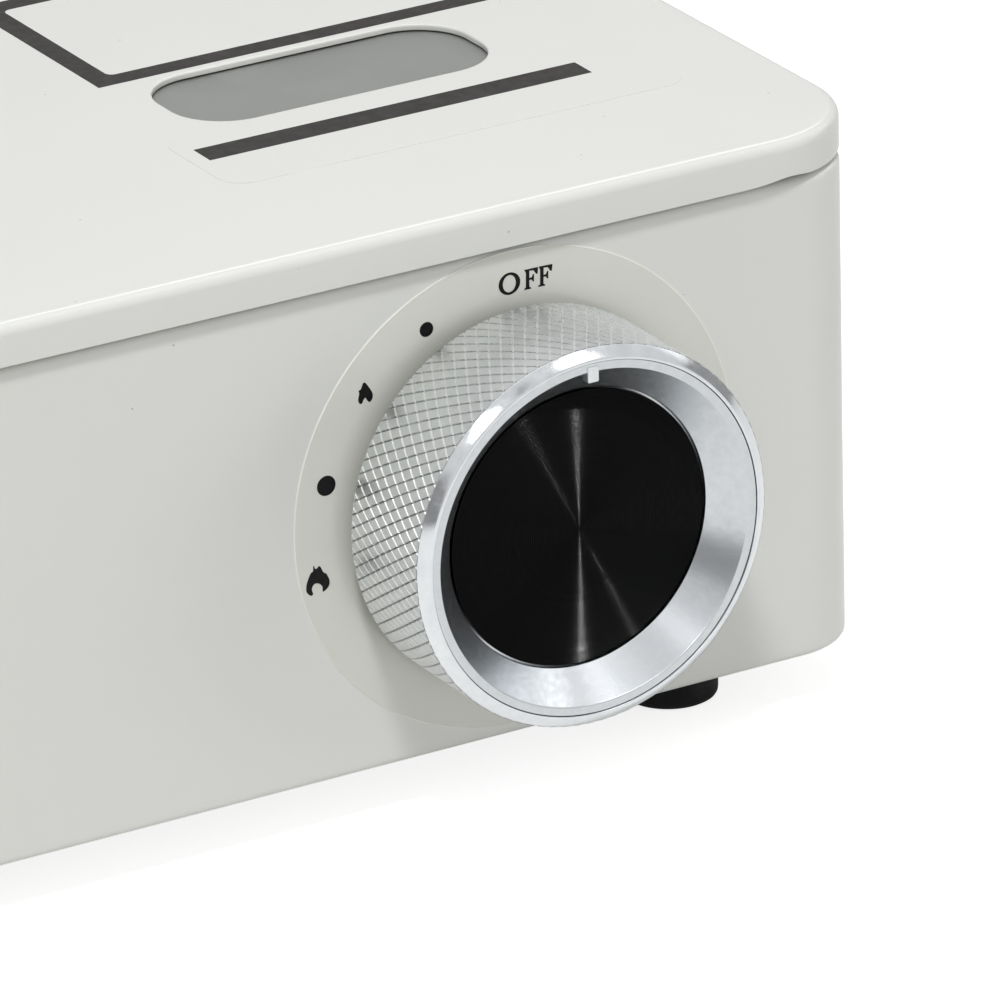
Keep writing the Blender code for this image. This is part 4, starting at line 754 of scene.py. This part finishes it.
def rimWave(x, y):  # the lid's rim stands a little off the body near its front right corner
    if y > lidLow.y + panelSize["cornerRadius"] / 2:
        return 0.0
    return waveSize["rise"] * math.exp(-((x - knobCentre.x - waveSize["fromKnob"]) / waveSize["width"]) ** 2)


def openingOutline(wider):
    low = (knobCentre.x - openingSize["left"] - wider, knobCentre.y + openingSize["front"] - wider)
    high = (knobCentre.x + openingSize["right"] + wider,
            knobCentre.y + openingSize["front"] + openingSize["depth"] + wider)
    return roundedOutline(low, high, openingSize["radius"] + wider, openingSize["steps"])


def makeLid():
    lip, top = openingSize["lip"], panelTop
    loops = [(top, openingOutline(lip + openingSize["lipRun"]))]
    loops += [(top - lip + dz, openingOutline(lip - dx))
              for dx, dz in arc(0, 0, lip, 90, 0, openingSize["lipSteps"])]
    loops.append((top - sheet, openingOutline(0)))
    lid = softRawEdges(pressedPanel("lid_panel", lidLeft, lidHigh.x, loops, rimWave))
    carry(weighNormals(lid), "lid", "cream_enamel", enamel, "canister_lid")
    bore, radius, half = knuckleSize["bore"], knuckleSize["radius"], knuckleSize["halfLength"]
    for end in ("front", "rear"):
        pinLow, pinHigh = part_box(f"hinge_pin_{end}")
        axis = (pinLow + pinHigh) / 2
        turn = Matrix.Translation(axis) @ Matrix.Rotation(math.pi / 2, 4, "X")
        barrel = lathe(f"lid_knuckle_{end}", [(bore, half), (radius, half, knuckleSize["soft"]),
                                              (radius, -half, knuckleSize["soft"]), (bore, -half)],
                       knuckleSize["steps"], turn, closed=True)
        carry(barrel, "lid", "cream_enamel", enamel)
        strap = boxPiece(f"lid_hinge_strap_{end}",
                         (lidLeft, axis.y - half, axis.z + knuckleSize["strapRise"]),
                         (axis.x + radius, axis.y + half, panelTop - sheet / 2), knuckleSize["strapSoft"], 2)
        carry(strap, "lid", "cream_enamel", enamel)


def makeBurnerPlate():
    size = {"holeRadius": 0.0852, "trayRim": 0.0068, "edge": 0.0009, "edgeRun": 0.0005, "edgeSteps": 4,
            "neck": 0.0004, "holeSteps": 144, "flapInset": 0.0131, "flapDepth": 0.016, "flapTop": 0.0004,
            "flapSoft": 0.0003}
    hole = max(size["holeRadius"], (trayHigh.x - trayLow.x) / 2 - size["trayRim"])
    edge, top = size["edge"], panelTop

    def ringAt(wider):
        return circle(burnerCentre.x, burnerCentre.y, hole + wider, size["holeSteps"])

    loops = [(top, ringAt(edge + size["edgeRun"]))]
    loops += [(top - edge + dz, ringAt(edge - dx)) for dx, dz in arc(0, 0, edge, 90, 0, size["edgeSteps"])]
    loops.append((top - edge - size["neck"], ringAt(0)))
    plate = softRawEdges(pressedPanel("burner_plate_panel", plateHigh.x, plateLow.x, loops))
    carry(weighNormals(plate), "stove", "cream_enamel", enamel, "burner_top_plate")
    flap = boxPiece("burner_plate_flap",
                    (plateHigh.x - sheet, plateLow.y + size["flapInset"], panelTop - size["flapDepth"]),
                    (plateHigh.x, plateHigh.y - size["flapInset"], panelTop - size["flapTop"]),
                    size["flapSoft"], 2)
    carry(flap, "stove", "cream_enamel", enamel)


makeLid()
makeBurnerPlate()
print("panels made")


# Prints: flat outlines given a little thickness
def printed(name, outlines, offset, material, matrix, body, thick):
    curve = bpy.data.curves.new(name, "CURVE")
    curve.dimensions = "2D"
    curve.fill_mode = "BOTH"
    curve.extrude = thick / 2
    for outline in outlines:
        spline = curve.splines.new("POLY")
        spline.points.add(len(outline) - 1)
        for point, (x, y) in zip(spline.points, outline):
            point.co = (x, y, 0, 1)
        spline.use_cyclic_u = True
    flat = bpy.data.objects.new(name, curve)
    bpy.context.scene.collection.objects.link(flat)
    bpy.context.view_layer.update()
    mesh = bpy.data.meshes.new_from_object(flat.evaluated_get(bpy.context.evaluated_depsgraph_get()))
    bpy.data.objects.remove(flat, do_unlink=True)
    bm = bmesh.new()
    bm.from_mesh(mesh)
    bm.transform(matrix @ Matrix.Translation((0, 0, offset + thick / 2)))
    carry(toPiece(name, bm), body, "black_plastic", material)


def smoothed(points, rounds=2, cut=0.22):  # corners cut twice round a closed outline
    for _ in range(rounds):
        finer = []
        for near, far in zip(points, points[1:] + points[:1]):
            near, far = Vector(near), Vector(far)
            finer += [tuple(near.lerp(far, cut)), tuple(near.lerp(far, 1 - cut))]
        points = finer
    return points


def shifted(points, centre, turn, scale=0.001):  # the signs' outlines are in millimetres
    swing = Matrix.Rotation(turn, 2)
    return [tuple(swing @ Vector(point) * scale + Vector(centre)) for point in points]


# Dial film on the front face, with its printed signs
dialSize = {"radius": 0.036, "thick": 0.00012, "hole": 0.0095, "soft": 0.00008, "edgeInset": 0.00002,
            "edgeOut": 0.00014, "edgeShare": 0.6, "ink": 0.00003, "steps": 180, "smoothAngle": 60}
letterF = [(0, 3.02), (0.2, 2.68), (0.28, 2.5), (0.28, 0.3), (0, 0.16), (0, 0), (1.12, 0), (1.12, 0.16),
           (0.84, 0.3), (0.84, 1.36), (1.2, 1.34), (1.45, 0.98), (1.6, 0.98), (1.6, 2.12), (1.45, 2.12),
           (1.2, 1.66), (0.84, 1.64), (0.84, 2.72), (1.5, 2.7), (1.95, 2.05), (2.2, 2.05), (2.28, 3.02)]
smallFlame = [(-0.15, 1.55), (0.15, 1.35), (1.2, -0.30), (1.17, -1.15), (0.65, -1.70), (0.2, -1.2),
              (0.0, -0.72), (-0.35, -1.05), (-0.55, -1.55), (-0.95, -1.6), (-1.24, -0.95), (-0.92, 0.12),
              (-1.15, 0.45), (-0.68, 0.56), (-0.38, 1.40)]
largeFlame = [(-0.70, 2.55), (-0.30, 1.55), (0.33, 2.25), (0.95, 0.85), (1.35, 0.75), (1.92, -0.42),
              (1.78, -1.4), (0.66, -2.15), (0.75, -1.15), (0.1, -0.5), (-0.65, -0.42), (-1.1, -1.15),
              (-0.75, -2.05), (-1.25, -2.2), (-1.98, -1.38), (-1.82, -0.1), (-1.08, 1.4), (-0.7, 1.38)]
letterO = {"outer": (1.76, 1.66), "inner": (1.06, 1.30), "innerShift": -0.02}
dotSize = {"low": 1.1, "high": 1.5}
roundSteps = 36


def makeDial():
    radius, thick, hole = dialSize["radius"], dialSize["thick"], dialSize["hole"]
    label = lathe("dial_label", [(hole, 0), (hole, thick), (radius, thick, dialSize["soft"]), (radius, 0)],
                  dialSize["steps"], knobFrame, closed=True, smoothAngle=dialSize["smoothAngle"])
    carry(label, "stove", "cream_enamel", labelFilm)
    inner, outer = radius - dialSize["edgeInset"], radius + dialSize["edgeOut"]
    # the film's cut edge: a narrow ring painted pale, a painted highlight along the edge
    cutEdge = lathe("dial_label_edge", [(inner, 0), (inner, thick), (outer, thick * dialSize["edgeShare"]),
                                        (outer, 0)],
                    dialSize["steps"], knobFrame, closed=True, smoothAngle=dialSize["smoothAngle"])
    carry(cutEdge, "stove", "cream_enamel", edgePaintedHighlight)
    ring = circle(0, 0, 1, roundSteps)
    (outerX, outerY), (innerX, innerY) = letterO["outer"], letterO["inner"]
    outerO = [(x * outerX, y * outerY) for x, y in ring]
    innerO = [(x * innerX + letterO["innerShift"], y * innerY) for x, y in ring]
    signs = {  # outlines, place on the dial from the knob's axis, turn in degrees
        "off_o": ([outerO, innerO], (-0.00030, 0.03118), 0),
        "off_f_1": ([letterF], (0.00208, 0.02968), -1),
        "off_f_2": ([letterF], (0.00438, 0.02966), -2),
        "dot_low": ([circle(0, 0, dotSize["low"], roundSteps)], (-0.0139, 0.0273), 0),
        "dot_high": ([circle(0, 0, dotSize["high"], roundSteps)], (-0.0307, 0.0075), 0),
        "flame_low": ([smoothed(smallFlame)], (-0.0240, 0.0201), 0),
        "flame_high": ([smoothed(largeFlame)], (-0.0325, -0.0064), 0)}
    for name, (outlines, place, turn) in signs.items():
        printed(f"mark_{name}", [shifted(outline, place, math.radians(turn)) for outline in outlines], thick,
                ink, knobFrame, "stove", dialSize["ink"])


makeDial()


# Print on the lid: a clear film with one plain dark bar and a plain frame, no words
def makeLidPrint():
    size = {"filmLeft": -0.0292, "filmRight": 0.0468, "filmFront": 0.0272, "filmBack": 0.0486,
            "filmRadius": 0.004, "filmThick": 0.00006, "filmSteps": 12, "ink": 0.00002,
            "barLeft": -0.0266, "barRight": 0.0365, "barFront": 0.0380, "barBack": 0.0429,
            "frameLeft": -0.0257, "frameRight": 0.040, "frameFront": 0.0724, "frameBack": 0.112,
            "frameWidth": 0.0036, "frameRadius": 0.0012, "frameSteps": 6}
    top = Matrix.Translation((knobCentre.x, knobCentre.y, panelTop))

    def block(left, right, front, back):
        return [(left, front), (right, front), (right, back), (left, back)]

    film = boxPiece("lid_film", (knobCentre.x + size["filmLeft"], knobCentre.y + size["filmFront"], panelTop),
                    (knobCentre.x + size["filmRight"], knobCentre.y + size["filmBack"],
                     panelTop + size["filmThick"]), size["filmRadius"], size["filmSteps"])
    carry(film, "lid", "cream_enamel", clearFilm)
    printed("lid_bar", [block(size["barLeft"], size["barRight"], size["barFront"], size["barBack"])],
            size["filmThick"], greyInk, top, "lid", size["ink"])
    width = size["frameWidth"]
    inside = roundedOutline((size["frameLeft"] + width, size["frameFront"] + width),
                            (size["frameRight"] - width, size["frameBack"] - width), size["frameRadius"],
                            size["frameSteps"])
    outside = block(size["frameLeft"], size["frameRight"], size["frameFront"], size["frameBack"])
    printed("lid_frame", [outside, inside], 0, greyInk, top, "lid", size["ink"])


makeLidPrint()
print("prints made")


# Feet, tray and burner; the pan support keeps its solid's shape
def makeFeet():
    size = {"stem": 0.0028, "stemSoft": 0.0004, "radius": 0.0072, "topSoft": 0.0003, "footSoft": 0.0011,
            "tread": 0.0045, "treadSoft": 0.0005, "hollow": 0.0038, "hollowDepth": 0.0009,
            "hollowSoft": 0.0004, "steps": 64}
    top = shellLow.z + sheet
    for end in ("front", "rear"):
        for side in ("left", "right"):
            node = f"foot_{end}_{side}"
            low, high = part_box(node)
            centre = Matrix.Translation(((low.x + high.x) / 2, (low.y + high.y) / 2, 0))
            foot = lathe(f"rubber_{node}", [
                (0, high.z), (size["stem"], high.z, size["stemSoft"]), (size["stem"], top),
                (size["radius"], top, size["topSoft"]), (size["radius"], 0, size["footSoft"]),
                (size["tread"], 0, size["treadSoft"]),
                (size["hollow"], size["hollowDepth"], size["hollowSoft"]),
                (0, size["hollowDepth"])], size["steps"], centre)
            carry(foot, "stove", "black_rubber", rubber, node)


def makeTray():
    size = {"rim": 0.009, "wall": 0.0008, "floorShare": 0.93, "coneShare": 0.56, "hole": 0.038,
            "collar": 0.004, "edgeSoft": 0.0003, "rimSoft": 0.0015, "floorSoft": 0.002, "coneSoft": 0.003,
            "steps": 144}
    radius = (trayHigh.x - trayLow.x) / 2
    well, wall, edge = radius - size["rim"], size["wall"], size["edgeSoft"]
    top, floor = trayHigh.z, trayLow.z
    wide, narrow = well * size["floorShare"], well * size["coneShare"]
    collar = floor + size["collar"]
    tray = lathe("tray_pressing", [
        (radius, top, edge), (radius, top - wall, edge), (well + wall, top - wall, size["rimSoft"]),
        (wide + wall, floor, size["floorSoft"]), (narrow - wall, floor, size["coneSoft"]),
        (size["hole"], collar, edge), (size["hole"], collar + wall, edge),
        (narrow, floor + wall, size["coneSoft"]), (wide, floor + wall, size["floorSoft"]),
        (well, top, size["rimSoft"])], size["steps"], Matrix.Translation(burnerCentre), closed=True)
    carry(tray, "tray", "plated_steel", nickel, "drip_tray")


def portTree():  # flame ports: slots cut at even steps round a ring
    tree, add, put = startTree("flame ports", {
        "Count": (wholeKind, 24), "Radius": (floatKind, 0.03), "Width": (floatKind, 0.0016),
        "Depth": (floatKind, 0.008), "Height": (floatKind, 0.09), "Reach": (floatKind, 0.01)})
    size = add("ShaderNodeCombineXYZ", {"X": put["Reach"], "Y": put["Width"], "Z": put["Depth"]})
    cutter = add("GeometryNodeMeshCube", {"Size": size})
    points = add("GeometryNodePoints", {"Count": put["Count"]})
    middle = add("ShaderNodeMath", {0: add("GeometryNodeInputIndex"), 1: 0.5}, operation="ADD")
    share = add("ShaderNodeMath", {0: middle, 1: put["Count"]}, operation="DIVIDE")
    angle = add("ShaderNodeMath", {0: share, 1: 2 * math.pi}, operation="MULTIPLY")
    along, across = (add("ShaderNodeMath", {0: angle}, operation=way) for way in ("COSINE", "SINE"))
    where = add("ShaderNodeCombineXYZ", {
        "X": add("ShaderNodeMath", {0: along, 1: put["Radius"]}, operation="MULTIPLY"),
        "Y": add("ShaderNodeMath", {0: across, 1: put["Radius"]}, operation="MULTIPLY"), "Z": put["Height"]})
    placed = add("GeometryNodeSetPosition", {"Geometry": points, "Position": where})
    turn = add("ShaderNodeCombineXYZ", {"Z": angle})
    copies = add("GeometryNodeInstanceOnPoints", {"Points": placed, "Instance": cutter, "Rotation": turn})
    real = add("GeometryNodeRealizeInstances", {"Geometry": copies})
    endTree(add, put, add("GeometryNodeMeshBoolean", {"Mesh 1": put["Geometry"], "Mesh 2": real},
                          operation="DIFFERENCE", solver="EXACT"))
    return tree


def makeBurner():
    size = {"ringWidth": 0.003, "bottomSoft": 0.0003, "topSoft": 0.0006, "ports": 24, "portWidth": 0.0016,
            "portDepth": 0.011, "portReach": 0.012, "capDrop": 0.0018, "domeShare": 0.5, "domeFall": 0.0001,
            "domeSoft": 0.004, "capEdge": 0.0016, "capSoft": 0.0008, "capBottomSoft": 0.0003,
            "spigotGap": 0.0033, "steps": 96}
    outer = (crownHigh.x - crownLow.x) / 2
    inner = outer - size["ringWidth"]
    ring = lathe("crown_ring", [
        (inner, crownLow.z), (inner, crownHigh.z, size["bottomSoft"]), (outer, crownHigh.z, size["topSoft"]),
        (outer, crownLow.z, size["bottomSoft"])], size["steps"], Matrix.Identity(4), closed=True)
    crown = grow("burner_crown_ring", portTree(), {
        "Count": size["ports"], "Radius": outer, "Width": size["portWidth"], "Depth": size["portDepth"],
        "Height": crownHigh.z, "Reach": size["portReach"], "Material": brass}, ring.data)
    bpy.data.objects.remove(ring, do_unlink=True)
    crown.data.transform(Matrix.Translation(burnerCentre))
    carry(weighNormals(crown), "stove", "brass", brass, "burner_crown")
    radius = (capHigh.x - capLow.x) / 2
    low, high = capLow.z + size["capDrop"], capHigh.z
    spigot = outer - size["spigotGap"]
    cap = lathe("burner_cap_dome", [
        (0, high), (radius * size["domeShare"], high - size["domeFall"], size["domeSoft"]),
        (radius, low + size["capEdge"], size["capSoft"]), (radius, low, size["capBottomSoft"]), (spigot, low),
        (spigot, capLow.z), (0, capLow.z)], size["steps"], Matrix.Translation(burnerCentre))
    carry(cap, "stove", "black_enamel", blackEnamel, "burner_cap")


def dressNodes():  # solids whose shape is right keep it: merged, smoothed by angle, and given their finish
    size = {"weldGap": 0.000001, "flatAngle": 0.3, "coverDepth": 0.0014, "coverRise": 0.0032}
    finishes = {"galvanised_steel": galvanised, "cast_aluminium": castAluminium, "black_plastic": blackNylon,
                "white_plastic": whiteNylon, "black_rubber": leadSleeve, "brass": brass,
                "die_cast_zinc": dieCastZinc, "ferrite": ferrite, "white_ceramic": ceramic,
                "plated_steel": nickel, "black_enamel": blackEnamel, "cream_enamel": enamel}
    slots = {item["node"]: item["material_slot"] for item in frame["record"]["subparts"]}
    bodies = frame["record"]["behaviour"]["bodies"]
    homes = {node: body for body, nodes in bodies.items() for node in nodes}
    for name, node in frame["nodes"].items():
        if node.hide_render:
            continue
        bm = bmesh.new()
        bm.from_mesh(node.data)
        bmesh.ops.remove_doubles(bm, verts=bm.verts, dist=size["weldGap"])
        bmesh.ops.dissolve_limit(bm, angle_limit=math.radians(size["flatAngle"]), verts=bm.verts,
                                 edges=bm.edges)
        if name == "regulator_bracket":  # its flat top lies close under the lid, as the photograph shows
            top = max(vert.co.z for vert in bm.verts)
            for vert in bm.verts:
                if vert.co.z > top - size["coverDepth"]:
                    vert.co.z += size["coverRise"]
        piece = toPiece(f"{name}_finish", bm, flip=False)
        carry(weighNormals(piece), homes[name], slots[name], finishes[slots[name]], name)


makeFeet()
makeTray()
makeBurner()
dressNodes()


# Camera at the photograph's angle
def makeCamera():
    view = {"azimuth": 30.14, "elevation": 22.82, "roll": 1.37, "lens": 401.34, "sensor": 36.0,
            "fromKnob": (-0.73168, -1.25572, 0.60971), "clipEnd": 50}
    turn, tilt, roll = (math.radians(view[key]) for key in ("azimuth", "elevation", "roll"))
    ahead = Vector((math.sin(turn) * math.cos(tilt), math.cos(turn) * math.cos(tilt), -math.sin(tilt)))
    right = Vector((math.cos(turn), -math.sin(turn), 0))
    down = ahead.cross(right)
    across = right * math.cos(roll) + down * math.sin(roll)
    below = down * math.cos(roll) - right * math.sin(roll)
    lens = bpy.data.cameras.new("photo camera")
    lens.sensor_width = view["sensor"]
    lens.lens = view["lens"]
    lens.clip_end = view["clipEnd"]
    camera = bpy.data.objects.new("photo_camera", lens)
    bpy.context.scene.collection.objects.link(camera)
    camera.matrix_world = Matrix.Translation(knobCentre + Vector(view["fromKnob"])) @ Matrix(
        (across, -below, -ahead)).transposed().to_4x4()
    bpy.context.scene.camera = camera


# A plain light studio on pale paper
white = (1, 1, 1, 1)


def makeStage():
    look = {"paper": "#D6D6D4", "rough": 0.9, "toCamera": 0.8, "toGlossy": 0.34, "reach": 30}
    bm = bmesh.new()
    bmesh.ops.create_grid(bm, x_segments=1, y_segments=1, size=look["reach"])
    floor = toPiece("studio_floor", bm)
    material = bpy.data.materials.new("pale studio paper")
    material.use_nodes = True
    nodes = material.node_tree.nodes
    add = adder(material.node_tree)
    surface = feed(nodes["Principled BSDF"], {"Base Color": linear(look["paper"]),
                                                "Roughness": look["rough"]})
    seen = add("ShaderNodeLightPath").outputs
    toCamera = add("ShaderNodeMath", {0: seen["Is Camera Ray"], 1: look["toCamera"]}, operation="MULTIPLY")
    amount = add("ShaderNodeMath", {0: seen["Is Glossy Ray"], 1: look["toGlossy"], 2: toCamera},
                 operation="MULTIPLY_ADD")
    glow = add("ShaderNodeEmission", {"Color": white, "Strength": amount})
    both = add("ShaderNodeAddShader", {0: surface, 1: glow})
    feed(nodes["Material Output"], {"Surface": both})
    floor.data.materials.append(material)


def areaLight(name, where, size, power, glossy=True):  # every lamp points at the knob
    lamp = bpy.data.lights.new(name, "AREA")
    lamp.shape = "RECTANGLE"
    lamp.size, lamp.size_y = size
    lamp.energy = power
    light = bpy.data.objects.new(name, lamp)
    light.visible_glossy = glossy
    bpy.context.scene.collection.objects.link(light)
    light.location = where
    light.rotation_euler = (knobCentre - Vector(where)).to_track_quat("-Z", "Y").to_euler()
    return light


def makeWorld():
    level = {"ambient": 0.24, "glossy": 0.76}
    world = bpy.data.worlds.new("studio")
    world.use_nodes = True
    add = adder(world.node_tree)
    seen = add("ShaderNodeLightPath").outputs
    clear = add("ShaderNodeMath", {0: seen["Is Camera Ray"], 1: seen["Is Transmission Ray"]},
                operation="MAXIMUM")
    direct = add("ShaderNodeMath", {0: clear, 1: 1 - level["ambient"], 2: level["ambient"]},
                 operation="MULTIPLY_ADD")
    strength = add("ShaderNodeMath", {0: seen["Is Glossy Ray"], 1: level["glossy"] - level["ambient"],
                                      2: direct}, operation="MULTIPLY_ADD")
    feed(world.node_tree.nodes["Background"], {"Color": white, "Strength": strength})
    bpy.context.scene.world = world


def makeLamps():
    areaLight("key_top", knobCentre + Vector((-0.42, -0.52, 1.34)), (0.22, 0.22), 12.5, glossy=False)
    areaLight("top_softbox", (0.0, -0.1, 1.5), (1.2, 1.0), 3.6)
    areaLight("fill_front", knobCentre + Vector((-0.85, -1.30, 0.35)), (0.7, 0.7), 1.6, glossy=False)
    areaLight("fill_right", knobCentre + Vector((1.35, -0.95, 0.25)), (0.8, 0.8), 4.8, glossy=False)
    metal = ("knob_chamfer_ring", "knob_dish_face", "knob_nib", "knob_knurl", "knob_knurl_core")
    groups = {"bright metal": metal, "satin cone": metal[1:2], "turned disc": ("knob_face",),
              "lid edge": ("lid_panel", "lid_film")}
    for name, way, size, power, group in (  # small lamps that only some pieces see
            ("catch_right", (0.487, -0.752, 1.047), 0.30, 1.2, "bright metal"),
            ("catch_left", (-0.496, -0.958, 0.857), 0.27, 1.0, "bright metal"),
            ("cone_low", (0.14, -1.04, 0.93), 0.40, 0.9, "satin cone"),
            ("cone_side", (1.06, -0.17, 0.90), 0.40, 0.9, "satin cone"),
            ("glint_upright", (0.552, -0.60, 0.876), 0.02, 45, "turned disc"),
            ("glint_slanted", (-0.048, -0.912, 0.78), 0.02, 12, "turned disc"),
            ("edge_line", (0.66, 0.90, 0.90), 0.5, 1.9, "lid edge")):
        lamp = areaLight(name, knobCentre + Vector(way), (size, size), power)
        if group not in bpy.data.collections:
            receivers = bpy.data.collections.new(group)
            for piece in groups[group]:
                receivers.objects.link(bpy.data.objects[piece])
        lamp.light_linking.receiver_collection = bpy.data.collections[group]
        lamp.visible_diffuse = group != "lid edge"


def reflectorCard(name, centre, target, size, shade):  # seen only in reflections, as a studio's flags
    bm = bmesh.new()
    bmesh.ops.create_grid(bm, x_segments=1, y_segments=1, size=0.5)
    bm.transform(Matrix.Diagonal((*size, 1, 1)))
    bm.transform((target - centre).to_track_quat("Z", "Y").to_matrix().to_4x4())
    bm.transform(Matrix.Translation(centre))
    card = toPiece(name, bm, flip=False)
    material = bpy.data.materials.new(f"{name} cloth")
    material.use_nodes = True
    glow = adder(material.node_tree)("ShaderNodeEmission", {"Color": white, "Strength": shade})
    feed(material.node_tree.nodes["Material Output"], {"Surface": glow})
    card.data.materials.append(material)
    card.visible_camera = card.visible_diffuse = card.visible_shadow = card.visible_transmission = False


def makeCards():
    for name, way, size, shade in (("grey_flag_left", (-1.26, -0.78, 0.25), (0.9, 0.56), 0.30),
                                   ("grey_flag_right", (1.45, -0.08, 0.25), (0.7, 0.56), 0.34),
                                   ("grey_flag_between", (-0.07, -0.85, 0.98), (0.12, 0.3), 0.4)):
        spot = knobCentre + Vector(way)
        reflectorCard(name, spot, Vector((knobCentre.x, knobCentre.y, spot.z)), size, shade)
    for name, way in (("white_card_side", (1.08, 0.08, 0.70)), ("white_card_high", (0.50, -0.12, 1.18))):
        reflectorCard(name, knobCentre + Vector(way), knobCentre, (0.66, 0.66), 1.3)


makeCamera()
makeStage()
makeWorld()
makeLamps()
makeCards()
bpy.context.scene.view_settings.view_transform = "Standard"
